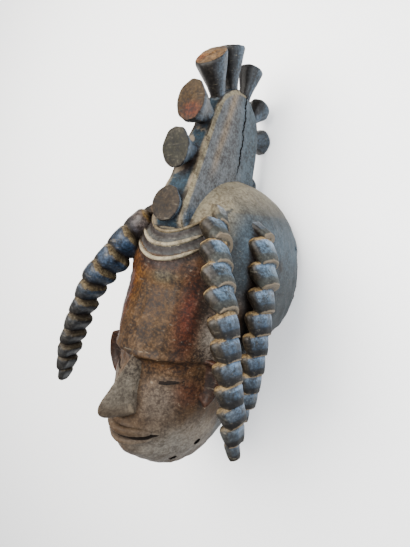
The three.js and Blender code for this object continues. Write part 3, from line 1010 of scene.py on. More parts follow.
def placed_copies(name, places, turns, sizes, choices, shapes):
    """Copies of a group's shapes on upright points, each as a solid of its own."""
    points = bpy.data.meshes.new(name)
    points.from_pydata(place(places).tolist(), [], [])
    keep_values(points, "turn", turns, "FLOAT_VECTOR")
    keep_values(points, "size", np.array(sizes) / 1000.0, "FLOAT_VECTOR")
    keep_values(points, "choice", choices, "INT")
    obj = working(points, "Points")
    tree = bpy.data.node_groups.get("Placed Copies") or copies_tree()
    mesh = run_tree(obj, tree, Shapes=bpy.data.collections[shapes], Size=1.0, Material=painted_wood())
    clear("Points")
    clear(shapes)
    kinds = values_of(mesh.attributes["zone"].data, "value", kind=np.int32)
    mesh.attributes.remove(mesh.attributes["zone"])
    mesh.materials.clear()
    mesh.polygons.foreach_set("material_index", kinds)
    whole = working(mesh, "Added")
    bpy.ops.object.select_all(action="DESELECT")
    bpy.context.view_layer.objects.active = whole
    whole.select_set(True)
    bpy.ops.object.mode_set(mode="EDIT")
    bpy.ops.mesh.select_all(action="SELECT")
    bpy.ops.mesh.separate(type="LOOSE")
    bpy.ops.object.mode_set(mode="OBJECT")


# Braids

def collar_shape(neck, random):
    """Rings and zones of a collar, one long and one in radius, with its ledge above its neck."""
    sides = 40
    outline = cut_outline(random, 8, sides, 0.92)
    turn = around(sides)
    last_wide = COLLAR_PROFILE[-1][0]
    profile = COLLAR_PROFILE + [(0.5 * (last_wide + neck), 0.98), (neck, 1.1), (0.9 * neck, 1.22)]
    rings = []
    for radius, along in profile:
        out = radius * outline * np.maximum(np.cos(turn), -0.75)
        side = radius * outline * np.sin(turn)
        rings.append(np.stack([out, side, np.full(sides, along)], axis=1))
    outer = np.cos(turn + math.pi / sides)
    band = np.arange(len(profile) + 1)[:, None]
    # The pale ledge reaches further down on the outer side, as painted highlight of a deeper cut there.
    ledge_end = np.where(outer > 0.3, 6, np.where(outer > -0.4, 5, 4))
    # The upper outer facets of a collar take the zone painted as highlight, and its notch the zone painted
    # as shade.
    facet = (band < FACET_END) & (outer > -0.5)
    zones = np.where(band < ledge_end, LEDGES, np.where(facet, LIT_FACETS, BRAIDS))
    zones = np.where(band >= NOTCH_START, SHADED_NOTCHES, zones)
    return rings, zones


def ways_of(along):
    """The way along a braid, and the way straight out of it to the side of the mask."""
    direction = unit(along)
    return direction, unit(np.array([1.0, 0, 0]) - direction[0] * direction)


def braid_places(path, root, tip, collars, tilt, side, random):
    """Where the collars of a braid stand, how they are turned and how large they are."""
    line, along = spline(path, 400)
    last = len(line) - 1
    index = np.arange(collars + 1) / collars
    starts = index * (1.3 - 0.3 * index)
    run = np.linalg.norm(np.diff(line, axis=0), axis=1).sum()
    places, turns, sizes, choices = [], [], [], []
    for i in range(collars):
        at = starts[i]
        step = starts[i + 1] - at
        here = min(int(at * last), last)
        ahead = min(int((at + 0.5 * step) * last), last)
        direction, outward = ways_of(along[ahead])
        lean = tilt * (1 - 0.5 * at) * random.uniform(0.8, 1.25)
        down = unit(direction + math.tan(lean) * outward)
        out = unit(outward - np.dot(outward, down) * down)
        fuller = (1.15 - 0.14 * at) * (0.62 + 0.38 * smooth(at, -0.02, 0.14))
        fuller *= 1 - 0.42 * smooth(at, 0.84, 0.96)
        width = (root[0] + (tip[0] - root[0]) * at) * fuller
        depth = (root[1] + (tip[1] - root[1]) * at) * fuller
        reach = run * step * (0.95 if i == collars - 1 else 1.0)
        stout = 0.3 * (1 - smooth(at, 0.3, 0.55)) if side < 0 and path is FRONT_BRAID else 0.0
        start = line[here] - (0.45 * reach * math.tan(lean) + 0.7 * width * stout) * outward
        places.append(start * (side, 1, 1))
        turns.append(turn_of(out * (side, 1, 1), down * (side, 1, 1)))
        width *= 1 + stout
        sizes.append((width * random.uniform(0.97, 1.02), depth * random.uniform(0.97, 1.02), reach))
        choices.append(int(random.integers(0, COLLAR_SHAPES)))
    return places, turns, sizes, choices


class MASK_OT_braids(bpy.types.Operator):
    """Carves the four hanging braids as rows of collars"""

    bl_idname = "mask.braids"
    bl_label = "Carve the Braids"

    def execute(self, context):
        braids = context.scene.mask_braids
        random = np.random.default_rng(BRAID_SEED)
        for number in range(COLLAR_SHAPES):
            keep_shape(f"collar shape {number}", *collar_shape(braids.neck, random), "Collar Shapes")
        every = ([], [], [], [])
        for side, shift, rear_root in REAR_BRAIDS:
            rear = [(x, y + shift, z) for x, y, z in REAR_BRAID]
            for path, root, tip, collars in (
                    (FRONT_BRAID, FRONT_ROOT, FRONT_TIP, braids.front_collars),
                    (rear, rear_root, REAR_TIP, braids.rear_collars)):
                found = braid_places(path, root, tip, collars, braids.ledge_tilt, side, random)
                for whole, part in zip(every, found):
                    whole.extend(part)
                carve("braid tip", braid_tip(path, tip, side), BRAIDS)
        placed_copies("collars", *every, "Collar Shapes")
        return {"FINISHED"}


def braid_tip(path, tip, side):
    """The rounded end of a braid."""
    line, along = spline(path, 60)
    direction, outward = ways_of(along[-1])
    sideways = np.cross(direction, outward)
    turn = around(24)
    rings = []
    for size, back in ((0.5, 14), (0.44, 8), (0.36, 4), (0.26, 1.2), (0.16, 0.2), (0.08, 0)):
        ring = (np.maximum(np.cos(turn), -0.75)[:, None] * tip[0] * size * outward
                + np.sin(turn)[:, None] * tip[1] * size * sideways)
        rings.append((line[-1] - back * direction + ring) * (side, 1, 1))
    return rings


# The whole mask

def joined_mask():
    """The block with everything added and then everything hollow taken away."""
    block = bpy.data.collections["Block"].objects[0]
    for group, operation in (("Rim", "DIFFERENCE"), ("Added", "UNION"), ("Removed", "DIFFERENCE")):
        cut = block.modifiers.new(group, "BOOLEAN")
        cut.operation = operation
        cut.operand_type = "COLLECTION"
        cut.collection = bpy.data.collections[group]
        cut.solver = "MANIFOLD"
    mesh = plain(block)
    for group in ("Block", "Rim", "Added", "Removed"):
        clear(group)
    if len(mesh.polygons) < FEWEST_FACES:
        raise RuntimeError("the joined mask has lost most of its surface")
    return mesh


def spread(values, edges, turns):
    """Values at the points of a mesh, evened out between neighbours."""
    links = np.bincount(edges.ravel(), minlength=len(values)).astype(float)
    links[links == 0] = 1
    for _ in range(turns):
        total = np.zeros_like(values)
        np.add.at(total, edges[:, 0], values[edges[:, 1]])
        np.add.at(total, edges[:, 1], values[edges[:, 0]])
        mean = total / (links[:, None] if values.ndim > 1 else links)
        values = (values + mean) / 2
    return values


def soften(mesh):
    """Rounds the inner corners where the carved forms meet, and very slightly the rest."""
    where = places_of(mesh)
    edges = edges_of(mesh)
    normals = normals_of(mesh)
    even = spread(where, edges, 3)
    hollow = np.einsum("ij,ij->i", even - where, normals) * 1000
    share_moved = 0.12 + 0.75 * smooth(hollow, 0.15, 0.6)
    share_moved = spread(share_moved, edges, 2)
    move_points(mesh, where + (even - where) * share_moved[:, None])


def keep_in_block(mesh):
    """Wears flat what the mask lies on, and rounds off what would stand out of the block."""
    where = places_of(mesh)
    low, high = (np.array(corner) for corner in CAD_BOUNDS)
    edge = EDGE_ROUNDING
    for top, sign in ((high, 1), (-low, -1)):
        over = np.maximum(where * sign - (top - edge), 0)
        rounded = top - edge + 0.95 * edge * np.tanh(over / edge)
        axes = (0, 1, 2) if sign == 1 else (0, 1)
        for k in axes:
            where[:, k] = np.where(over[:, k] > 0, sign * rounded[:, k], where[:, k])
    where[:, 2] = np.maximum(where[:, 2], low[2] + FLOOR_GAP)
    move_points(mesh, where)


def zones_of(mesh):
    """The zone of each face, the point and zone of each corner, and the highest zone at each point."""
    kinds = values_of(mesh.polygons, "material_index", kind=np.int32)
    sizes = values_of(mesh.polygons, "loop_total", kind=np.int32)
    corners = values_of(mesh.loops, "vertex_index", kind=np.int32)
    by_corner = np.repeat(kinds, sizes)
    by_point = np.zeros(len(mesh.vertices), np.int32)
    np.maximum.at(by_point, corners, by_corner)
    return kinds, corners, by_corner, by_point


def ray_fan(rays):
    """Directions over a half sphere that rises along Z."""
    golden = math.pi * (3 - math.sqrt(5))
    fan = []
    for k in range(rays):
        up = 0.25 + 0.7 * (k + 0.5) / rays
        round_ = golden * k
        level = math.sqrt(1 - up * up)
        fan.append((level * math.cos(round_), level * math.sin(round_), up))
    return fan


def shaded_hollows(mesh, rays):
    """How closed in each point is, 0 in the open and 1 deep in a groove."""
    where = places_of(mesh)
    normals = normals_of(mesh)
    faces = [tuple(face.vertices) for face in mesh.polygons]
    tree = BVHTree.FromPolygons([tuple(p) for p in where], faces)
    fan = ray_fan(rays)
    shade = np.zeros(len(where))
    for i in range(len(where)):
        normal = Vector(normals[i])
        start = Vector(where[i]) + normal * RAY_LIFT
        side = normal.orthogonal().normalized()
        other = normal.cross(side)
        total = 0.0
        for a, b, c in fan:
            hit = tree.ray_cast(start, side * a + other * b + normal * c, RAY_REACH)[3]
            if hit is not None:
                total += 1 - hit / RAY_REACH
        shade[i] = total / rays
    return shade


# Paint

def srgb(*values):
    """A colour as the eye counts it, 0 to 255, in linear light."""
    v = np.array(values, float) / 255
    return np.where(v < 0.04045, v / 12.92, ((v + 0.055) / 1.055) ** 2.4)


# The surface's own colours are deeper than they look under the stage's bright light, and stronger.
DARKNESS = 0.3
SATURATION = 1.3


def deep(*values):
    """A colour as deep as the painted wood's own."""
    return tuple(DARKNESS * srgb(*values))


# How each zone looks: its colour, and how much it has of sheen, flecks of paint and adze marks.
ZONE_LOOKS = {
    CAP: ((64, 69, 72), 0.35, 0.55, 0.9),
    FACE: ((80, 61, 43), 0.25, 1.1, 0.55),
    BANDS: ((178, 168, 148), 0.2, 0.5, 0.35),
    BRAIDS: ((42, 50, 60), 0.7, 1.2, 0.6),
    # Facets under the ledges: lighter blue, as painted highlight.
    LIT_FACETS: ((66, 80, 94), 1.0, 1.0, 0.5),
    # Notches between the collars: near black, as painted shade.
    SHADED_NOTCHES: ((24, 21, 19), 0.2, 0.5, 0.4),
    LEDGES: ((162, 142, 112), 0.3, 0.9, 0.3),
    PLATE: ((102, 105, 108), 0.4, 0.75, 0.8),
    KNOB_SIDES: ((42, 42, 44), 0.8, 1.0, 0.7),
    KNOB_ENDS: ((68, 62, 54), 0.3, 1.0, 0.5),
    EARS: ((70, 44, 31), 0.4, 1.0, 0.6),
    INSIDE: ((120, 88, 62), 0.1, 0.6, 1.6),
    # Slits, holes and the split: near black, as painted shade inside them.
    SLITS: ((12, 10, 9), 0.0, 0.0, 0.0),
}
ZONE_ROWS = [ZONE_LOOKS[zone] for zone in range(len(ZONE_LOOKS))]
ZONE_COLOURS = np.array([srgb(*row[0]) for row in ZONE_ROWS])
ZONE_SHEEN, ZONE_FLECKS, ZONE_MARKS = np.array([row[1:] for row in ZONE_ROWS]).T

# Where paint and weather have left other colours, and where shade is painted: zones, place in upright mm,
# reach each way, colour and strength, and whether both sides have it.
PATCHES = [
    (HEAD_ZONES, (-36, -10, 222), (24, 40, 40), (104, 69, 32), 0.85, False),
    (HEAD_ZONES, (8, -24, 200), (24, 40, 46), (64, 43, 17), 0.92, False),
    (HEAD_ZONES, (44, -8, 190), (12, 30, 52), (72, 29, 14), 0.92, True),
    (HEAD_ZONES, (56, 0, 212), (9, 30, 38), (38, 31, 25), 0.9, True),
    (HEAD_ZONES, (64, 6, 166), (9, 30, 24), (134, 128, 120), 0.75, True),
    (HEAD_ZONES, (0, -16, 238), (50, 30, 8), (58, 34, 25), 0.8, True),
    # Painted shade under the brows.
    (HEAD_ZONES, (38, -24, 135), (34, 30, 7), (92, 66, 46), 0.8, True),
    (HEAD_ZONES, (51, -12, 106), (13, 30, 15), (86, 50, 34), 0.75, True),
    (HEAD_ZONES, (30, -30, 96), (18, 30, 24), (108, 100, 92), 0.75, True),
    (HEAD_ZONES, (38, -10, 44), (40, 60, 26), (146, 140, 131), 0.9, True),
    (FACE, (8, -66, 116), (20, 50, 36), (120, 114, 104), 0.8, True),
    (FACE, (0, -82, 90), (20, 30, 9), (92, 78, 64), 0.6, True),
    (HEAD_ZONES, (22, -40, 60), (20, 30, 10), (86, 72, 58), 0.5, True),
    (HEAD_ZONES, (58, 12, 56), (12, 24, 20), (140, 130, 118), 0.8, True),
    (CAP, (90, 99, 241), (6, 9, 9), (46, 40, 36), 0.9, False),
    # This and the next are painted shade, in brown, between the front and the rear braids.
    (HEAD_ZONES, (79, 34, 178), (9, 10, 34), (80, 60, 42), 0.85, True),
    (HEAD_ZONES, (84, 48, 225), (4, 6, 34), (104, 74, 44), 0.8, True),
    # Painted shade: the ears' fronts are near black, as in the shadow of the braids.
    (EARS, (69, 3, 120), (10, 8, 20), (20, 12, 9), 0.95, True),
    (HEAD_ZONES, (12, -20, 227), (14, 20, 7), (84, 84, 72), 0.6, False),
    (CREST_FOOT_ZONES, (-44, 20, 282), (22, 26, 20), (122, 92, 46), 0.85, False),
    (PLATE, (0, 24, 350), (12, 12, 20), (84, 60, 38), 0.8, False),
    (KNOB_ENDS, (0, -11, 303), (40, 14, 22), (42, 31, 18), 1.0, False),
    (KNOB_ENDS, (0, -3, 361), (40, 14, 22), (40, 38, 26), 1.0, False),
    (KNOB_ENDS, (0, 16, 414), (40, 16, 28), (62, 46, 25), 1.0, False),
    (KNOB_ENDS, (4, 12, 402), (14, 14, 9), (96, 46, 18), 0.9, False),
    (KNOB_ENDS, (0, 47, 471), (40, 22, 18), (134, 106, 76), 1.0, False),
    (KNOB_ENDS, (-12, 40, 470), (8, 10, 9), (132, 72, 34), 0.9, False),
    (KNOB_SIDES, (14, 28, 412), (9, 12, 18), (112, 112, 112), 0.8, False),
]


# Carved faces that look this way, to the mask's left and back, are painted lighter blue as painted
# highlight, and those that look away dark brown as painted shade.
LIGHT_WAY = np.array([0.83, 0.55, 0.1])


def face_end(z):
    """How far back the colours of the face reach on the side of the head."""
    return 34 - 0.12 * (z - 160) - 0.3 * np.maximum(z - 200, 0)


def band_foot(x):
    """The height of the headband's lower edge."""
    return 247 + 15 * (x / 42) ** 2


def on_the_face(points):
    x, y, z = points.T
    return (y < face_end(z)) & (z < band_foot(x))


def head_layers(points):
    """The face's own colour, the pale crown of the hood, partly its beige paint and partly painted light
    from above, and its blue-grey sides.
    """
    _, y, z = points.T
    on_face = on_the_face(points)
    # The crown is painted pale: partly beige paint, partly painted light from above.
    pale = smooth(z + np.clip(60 - y, 0, 60), 290, 328) * 0.95
    blue = 0.7 * bump(z - 264, 34) * smooth(y, 25, 50)
    return [
        (CAP, smooth(face_end(z) - y, 0, 9) * on_face, ZONE_COLOURS[FACE]),
        (CAP, pale * ~on_face, srgb(158, 149, 130)),
        (CAP, blue * (~on_face & (z < 300)), srgb(92, 107, 119)),
    ]


def carved_layers(points, facing_light):
    """Painted highlights in light blue where the carving looks towards the light and painted shade in brown
    where it looks away, then colours by height and side.
    """
    x, _, z = points.T
    left, right = x > 0, x <= 0
    # How far each face is painted as lit and as shaded.
    blue, shade_away = smooth(facing_light, 0.1, 0.6), smooth(-facing_light, -0.3, 0.35)
    raised = left * smooth(z, 190, 230)
    return [
        # Painted highlights and painted shade on the collars of the braids.
        (LIT_FACETS, 0.9 * blue, srgb(124, 150, 180)),
        (BRAIDS, 0.85 * blue, srgb(62, 80, 100)),
        (COLLAR_SIDES, 0.9 * shade_away * left, srgb(46, 37, 22)),
        (COLLAR_SIDES, 0.4 * shade_away * right, srgb(46, 37, 26)),
        (COLLAR_SIDES, 0.6 * smooth(z, 190, 240) * right, srgb(52, 70, 94)),
        (LEDGES, 0.5 * shade_away, srgb(108, 88, 62)),
        # Brighter painted highlights on the upper collars of the near braids.
        (LIT_FACETS, 0.8 * blue * raised, srgb(150, 176, 204)),
        (BRAIDS, 0.8 * blue * raised, srgb(110, 130, 148)),
        (LEDGES, 0.6 * raised, srgb(176, 152, 118)),
        (SHADED_NOTCHES, 0.75 * raised, srgb(82, 84, 80)),
        (COLLAR_SIDES, 0.5 * smooth(150 - z, 0, 60) * left, srgb(74, 78, 80)),
        (LEDGES, 0.75 * smooth(150 - z, 0, 50) * left, srgb(92, 88, 80)),
        (LEDGES, 0.7 * right, srgb(88, 82, 68)),
        (COLLAR_ZONES, 0.75 * smooth(215 - z, 0, 60) * right, srgb(46, 42, 36)),
        (COLLAR_ZONES, 0.6 * smooth(z, 286, 302) * left, srgb(138, 130, 114)),
        (BANDS, 0.7 * (z > 267 + 17 * (x / 41) ** 2), srgb(116, 102, 80)),
        # Painted shade and painted highlights on the sides of the knobs.
        (KNOB_SIDES, 0.85 * shade_away, srgb(32, 28, 24)),
        (KNOB_SIDES, 0.85 * smooth(facing_light, 0.25, 0.75), srgb(84, 98, 112)),
    ]


def plate_layers(points, zone):
    """The crest plate: blue behind, a pale streak, pale sloping edges in front and dark edge faces."""
    x, y, z = points.T
    on_plate = np.flatnonzero(zone == PLATE)
    outline = plate_outline(mm(bpy.context.scene.mask_crest.chamfer))[0]
    flat = np.stack([y[on_plate], z[on_plate]], axis=1)
    gap = np.full(len(x), 99.0)
    gap[on_plate] = np.linalg.norm(flat[:, None] - outline[None], axis=2).min(1)
    beside = np.abs(x) / crest_half_thickness(z)
    streak = bump(y - 54 - 0.476 * (z - 357), 7) * smooth(z, 325, 365)
    sloping = 0.9 * (1 - smooth(gap, 4.6, 6.4)) * smooth(beside, 0.7, 0.78)
    edge_face = 0.97 * (1 - smooth(beside, 0.72, 0.8))
    return [
        (PLATE, 0.8 * smooth(y, 85, 125), srgb(78, 92, 102)),
        (PLATE, 0.6 * streak, srgb(150, 130, 104)),
        (PLATE, sloping * (y < 118), srgb(146, 136, 114)),
        (PLATE, 0.8 * smooth(306 - z, 0, 16) * smooth(beside, 0.8, 0.9), srgb(72, 88, 104)),
        (PLATE, edge_face * (gap < 9), srgb(42, 60, 72)),
    ]


def patch_layers(points):
    x, y, z = points.T
    for zones, middle, reach, tone, strength, mirrored in PATCHES:
        side = np.abs(x) if mirrored else x
        gap = (((side - middle[0]) / reach[0]) ** 2 + ((y - middle[1]) / reach[1]) ** 2
               + ((z - middle[2]) / reach[2]) ** 2)
        yield zones, np.exp(-gap ** 1.5) * strength, srgb(*tone)


def headband_layers(points):
    """The dark ground of the headband, and a painted shadow under each of its ridges."""
    x, y, z = points.T
    on_band = (y < 50) & (np.abs(x) < 50) & (z > band_foot(x) - 12) & (z < 275 + 19 * (x / 40) ** 2)
    yield HEAD_ZONES, 0.8 * (on_band & (z > band_foot(x))), srgb(60, 66, 71)
    for middle, ends, half_span, width in BROW_BANDS:
        ridge = middle + (ends - middle) * (x / half_span) ** 2
        # Painted shadow in a dark band just under the ridge.
        ridge_shadow = bump(z - ridge + width + 3.2, 3.4) * (1 - smooth(np.abs(x), half_span, half_span + 8))
        yield HEAD_ZONES, 0.95 * ridge_shadow * on_band, srgb(38, 27, 25)


def upright_colours(points, normals, zone):
    """The colour of places on the mask: their zone's, with layers of others laid over it in turn."""
    base = ZONE_COLOURS[zone]
    layers = chain(head_layers(points), carved_layers(points, normals @ LIGHT_WAY),
                   plate_layers(points, zone), patch_layers(points), headband_layers(points))
    for zones, strength, tone in layers:
        laid = np.where(np.isin(zone, zones), np.clip(strength, 0, 1), 0)[:, None]
        base = base * (1 - laid) + tone * laid
    grey = (base * (0.2126, 0.7152, 0.0722)).sum(1)[:, None]
    return np.clip(grey + (base - grey) * SATURATION, 0.002, 1) * DARKNESS


def surface_value(tree, name, out=2):
    """An attribute of the surface, as a number or, with out=0, as a colour."""
    return add_node(tree, "ShaderNodeAttribute", {"attribute_name": name}, out=out)


def stretched(tree, where, scale, turn=0.0):
    """Places scaled by different amounts each way, so that a pattern runs long."""
    return add_node(tree, "ShaderNodeMapping", Vector=where, Scale=scale, Rotation=(0.3 * turn, turn, turn))


def wood_material(name, describe):
    """A material whose surface is described once, from the finish settings."""
    if name in bpy.data.materials:
        return bpy.data.materials[name]
    material = bpy.data.materials.new(name)
    material.use_nodes = True
    tree = material.node_tree
    tree.nodes.clear()
    where = add_node(tree, "ShaderNodeTexCoord", out=3)
    inputs = describe(tree, where, bpy.context.scene.mask_finish)
    surface = add_node(tree, "ShaderNodeBsdfPrincipled", **inputs)
    connect(tree, tree.nodes.new("ShaderNodeOutputMaterial").inputs[0], surface)
    return material


def painted_wood():
    return wood_material("weathered paint on wood", weathered_paint)


def weathered_paint(tree, where, finish):
    """Weathered paint over carved wood: colours from the surface, rubbed edges and painted shade in the
    hollows.
    """
    wear, grime, sheen, fleck = (surface_value(tree, name) for name in ("wear", "grime", "sheen", "fleck"))
    blotch = noise(tree, where, 24.0, 3.0).between(0.38, 0.62)
    mottle = noise(tree, where, 75.0, 6.0, 0.65)
    speck = noise(tree, where, 330.0, 3.0, 0.7)
    grain = noise(tree, stretched(tree, where, (1.0, 0.12, 1.0)), 420.0, 4.0, 0.6)
    slanted = stretched(tree, where, (0.15, 1.0, 1.0), math.radians(28))
    scratch = noise(tree, slanted, 360.0, 2.0)
    patchy, spotted = mottle.between(0.36, 0.64), speck.between(0.34, 0.66)
    uneven = 0.3 * blotch + 0.5 * patchy + 0.95 * spotted - 0.1 * grain - 0.82
    light = (0.97 + uneven * fleck).at_least(0.35)
    toned = vectors(tree, "SCALE", surface_value(tree, "stain", out=0), light)
    bared = (1 - spotted) * (1 - patchy) * fleck * 0.9
    soaked = mixed(tree, bared, toned, (0.55, 0.4, 0.3), "MULTIPLY")
    dusty = mixed(tree, speck.between(0.52, 0.75) * patchy * 0.15, soaked, deep(186, 180, 168))
    edge = (wear * 1.5 + (mottle - 0.5) * 0.9 + (speck - 0.5) * 0.8 - 0.1).between(0.32, 0.8)
    rubbed = mixed(tree, edge * finish.wear, dusty, tuple(finish.rubbed))
    scuffed = mixed(tree, scratch.between(0.62, 0.8) * 0.26, rubbed, deep(196, 184, 160))
    # Painted shade: the hollows are darkened towards deep brown by how closed in they are.
    hollow_shade_share = (grime * 1.6 + (0.5 - mottle) * 0.3).between(0.1, 0.7) * finish.grime
    shaded_colour = mixed(tree, hollow_shade_share, scuffed, deep(40, 30, 24))
    rough = 0.78 - 0.34 * sheen + 0.14 * (speck - 0.5) + 0.12 * hollow_shade_share - 0.08 * edge
    height = grain * 0.5 + speck * 0.35 - scratch.between(0.6, 0.78) * 0.3
    bumped = add_node(tree, "ShaderNodeBump", Strength=0.42, Distance=0.0006, Height=height)
    return dict(Base_Color=shaded_colour, Roughness=rough, Normal=bumped, Specular_IOR_Level=0.12,
                Coat_Weight=0.14 * sheen, Coat_Roughness=0.42)


def bare_wood():
    return wood_material("bare wood", unpainted)


def unpainted(tree, where, finish):
    """Unpainted wood inside the hood."""
    grain = noise(tree, stretched(tree, where, (1.0, 0.1, 1.0)), 260.0, 6.0, 0.6)
    light = 0.55 + 0.5 * noise(tree, where, 40.0, 4.0) + 0.5 * grain
    stained = mixed(tree, 0.5, surface_value(tree, "stain", out=0), tuple(finish.bare))
    # Painted shade: the hollows of the bare wood are darkened by how closed in they are.
    hollow_shade_share = surface_value(tree, "grime").between(0.15, 0.9) * finish.grime
    shaded_colour = mixed(tree, hollow_shade_share, vectors(tree, "SCALE", stained, light), tuple(srgb(30, 22, 17)))
    bumped = add_node(tree, "ShaderNodeBump", Strength=0.5, Distance=0.0006, Height=grain)
    return dict(Base_Color=shaded_colour, Roughness=0.82 - 0.1 * grain, Normal=bumped)


def mark_depths(mesh, by_point):
    """How deep the adze marks go: not where the mask lies on the floor, or where the chin is thin."""
    where = places_of(mesh)
    marks = spread(ZONE_MARKS[by_point], edges_of(mesh), 4)
    _, y, z = upright(where).T
    thin = smooth(y, 24, 34) * (1 - smooth(z, 20, 30))
    return np.where(where[:, 2] < FLAT_HEIGHT, 0, marks) * (1 - thin)


def corner_tones(mesh, corners, by_corner):
    """The colour at each corner of the faces, partly shared between neighbours on the braids."""
    where, totals = places_of(mesh), values_of(mesh.polygons, "loop_total", kind=np.int32)
    # The faces' normals, which set the painted highlights and painted shade of the carved faces.
    normals = np.repeat(values_of(mesh.polygons, "normal", 3), totals, axis=0)
    turned = upright(normals / 1000.0) - upright(np.zeros(3))
    tones = upright_colours(upright(where[corners]), turned, by_corner)
    shared = np.stack([np.bincount(corners, tones[:, k], len(where)) for k in range(3)], axis=1)
    faces_there = np.bincount(corners, minlength=len(where))[:, None]
    shared = spread(shared / faces_there, edges_of(mesh), 2)
    on_braid = np.isin(by_corner, (BRAIDS, LIT_FACETS, SHADED_NOTCHES))[:, None]
    tones = np.where(on_braid, 0.4 * tones + 0.6 * shared[corners], tones)
    return np.concatenate([tones, np.ones((len(tones), 1))], axis=1)


def point_values(mesh, by_point):
    """Rubbed edges, painted shade in the hollows, sheen and flecks at each point, as the paint reads them
    by name.
    """
    where, normals, edges = places_of(mesh), normals_of(mesh), edges_of(mesh)
    even = spread(where, edges, 3)
    ridge = np.einsum("ij,ij->i", where - even, normals) * 1000
    sharper = ridge - spread(ridge, edges, 10)
    wear = spread(smooth(sharper, 0.12, 0.5), edges, 1) * (by_point != SLITS)
    # How closed in each point is, which the paint darkens as painted shade.
    grime = spread(shaded_hollows(mesh, RAYS), edges, 1)
    on_face = on_the_face(upright(where)) & (by_point == CAP)
    fleck = np.where(on_face, ZONE_FLECKS[FACE], ZONE_FLECKS[by_point])
    _, y, z = upright(where).T
    fleck = spread(fleck, edges, 3) * (0.5 + 0.5 * smooth(z, 70, 135))
    fleck = fleck * (0.6 + 0.4 * smooth(y, -60, -40))
    return {"wear": wear, "grime": grime, "sheen": ZONE_SHEEN[by_point], "fleck": fleck}


class MASK_OT_join(bpy.types.Operator):
    """Joins the carved forms into one mask, marks its surface with the adze and paints it"""

    bl_idname = "mask.join"
    bl_label = "Join and Paint the Mask"

    def execute(self, context):
        finish = context.scene.mask_finish
        mesh = joined_mask()
        mesh.name = "helmet mask"
        soften(mesh)
        keep_in_block(mesh)
        kinds, corners, by_corner, by_point = zones_of(mesh)
        keep_values(mesh, "marks", mark_depths(mesh, by_point))
        mask = in_scene("helmet_mask", mesh)
        carved = run_tree(mask, marks_tree(), Depth=finish.mark_depth, Width=finish.mark_size,
                          Seed=float(finish.seed), Material=painted_wood())
        mask.data = carved
        carved.attributes.remove(carved.attributes["marks"])
        carved.materials.clear()
        carved.materials.append(painted_wood())
        carved.materials.append(bare_wood())
        tones = corner_tones(carved, corners, by_corner)
        keep_values(carved, "stain", tones, "FLOAT_COLOR", "CORNER")
        for name, values in point_values(carved, by_point).items():
            keep_values(carved, name, values)
        carved.polygons.foreach_set("material_index", (kinds == INSIDE).astype(np.int32))
        carved.polygons.foreach_set("use_smooth", np.ones(len(carved.polygons), bool))
        carved.set_sharp_from_angle(angle=SHARP_ANGLE)
        carved.update()
        triangles = len(carved.loops) - 2 * len(carved.polygons)
        print("helmet mask:", len(carved.polygons), "faces,", triangles, "triangles,",
              len(carved.vertices), "points")
        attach(mask, "root")
        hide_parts("carved_mask")
        return {"FINISHED"}


# Stage

def lay_floor(stage):
    half = stage.floor / 2
    sheet = bpy.data.meshes.new("floor")
    sheet.from_pydata([(-half, -half, 0), (half, -half, 0), (half, half, 0), (-half, half, 0)], [],
                      [(0, 1, 2, 3)])
    pale = bpy.data.materials.new("pale floor")
    pale.use_nodes = True
    surface = pale.node_tree.nodes["Principled BSDF"]
    surface.inputs["Base Color"].default_value = (*stage.floor_colour, 1)
    surface.inputs["Roughness"].default_value = 0.9
    sheet.materials.append(pale)
    floor = in_scene("floor", sheet)


def hang_lights(stage):
    world = bpy.data.worlds.new("room")
    bpy.context.scene.world = world
    world.use_nodes = True
    room = world.node_tree.nodes["Background"]
    room.inputs[0].default_value = (*ROOM_TONE, 1)
    room.inputs[1].default_value = stage.sky
    aim = Vector(place(LIT_PLACE))
    for name, (start, size, setting, tone) in LIGHTS.items():
        lamp = bpy.data.lights.new(name, "AREA")
        lamp.shape = "DISK"
        lamp.size = size
        lamp.energy = getattr(stage, setting)
        lamp.color = tone
        start = Vector(place(start))
        turn = (start - aim).to_track_quat("Z", "Y").to_matrix().to_4x4()
        in_scene(name, lamp).matrix_world = Matrix.Translation(start) @ turn


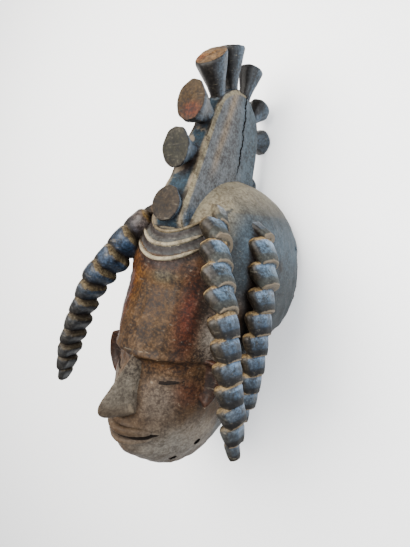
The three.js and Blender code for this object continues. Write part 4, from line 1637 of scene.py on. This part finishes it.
def set_camera(stage):
    lens = bpy.data.cameras.new("camera")
    lens.lens = stage.lens
    lens.sensor_width = 36
    lens.clip_start = 0.01
    right, down, ahead = (upright_direction(way) for way in (CAMERA_RIGHT, CAMERA_DOWN, CAMERA_AHEAD))
    turn = Matrix(np.array([right, -down, -ahead]).T.tolist()).to_4x4()
    camera = in_scene("camera", lens)
    camera.matrix_world = Matrix.Translation(Vector(place(CAMERA_PLACE))) @ turn
    bpy.context.scene.camera = camera


class MASK_OT_stage(bpy.types.Operator):
    """Lays the floor, hangs the lights and sets the camera"""

    bl_idname = "mask.stage"
    bl_label = "Set the Stage"

    def execute(self, context):
        stage = context.scene.mask_stage
        lay_floor(stage)
        hang_lights(stage)
        set_camera(stage)
        return {"FINISHED"}


class MASK_PT_panel(bpy.types.Panel):
    """Lists the steps that carve, join and light the mask"""

    bl_label = "Helmet Mask"
    bl_idname = "MASK_PT_panel"
    bl_space_type = "VIEW_3D"
    bl_region_type = "UI"
    bl_category = "Helmet Mask"

    def draw(self, context):
        layout = self.layout
        for step, _, name in STEPS:
            box = layout.box()
            box.operator(step.bl_idname)
            group = getattr(context.scene, name)
            for key in group.bl_rna.properties.keys():
                if key not in ("rna_type", "name"):
                    box.prop(group, key)


STEPS = (
    (MASK_OT_head, MaskHeadSettings, "mask_head"),
    (MASK_OT_crest, MaskCrestSettings, "mask_crest"),
    (MASK_OT_braids, MaskBraidSettings, "mask_braids"),
    (MASK_OT_join, MaskFinishSettings, "mask_finish"),
    (MASK_OT_stage, MaskStageSettings, "mask_stage"),
)


def register():
    for step, group, name in STEPS:
        bpy.utils.register_class(group)
        bpy.utils.register_class(step)
        setattr(bpy.types.Scene, name, bpy.props.PointerProperty(type=group))
    bpy.utils.register_class(MASK_PT_panel)


def unregister():
    bpy.utils.unregister_class(MASK_PT_panel)
    for step, group, name in reversed(STEPS):
        delattr(bpy.types.Scene, name)
        bpy.utils.unregister_class(step)
        bpy.utils.unregister_class(group)


def main():
    register()
    bpy.ops.mask.head()
    bpy.ops.mask.crest()
    bpy.ops.mask.braids()
    bpy.ops.mask.join()
    bpy.ops.mask.stage()


if __name__ == "__main__":
    main()
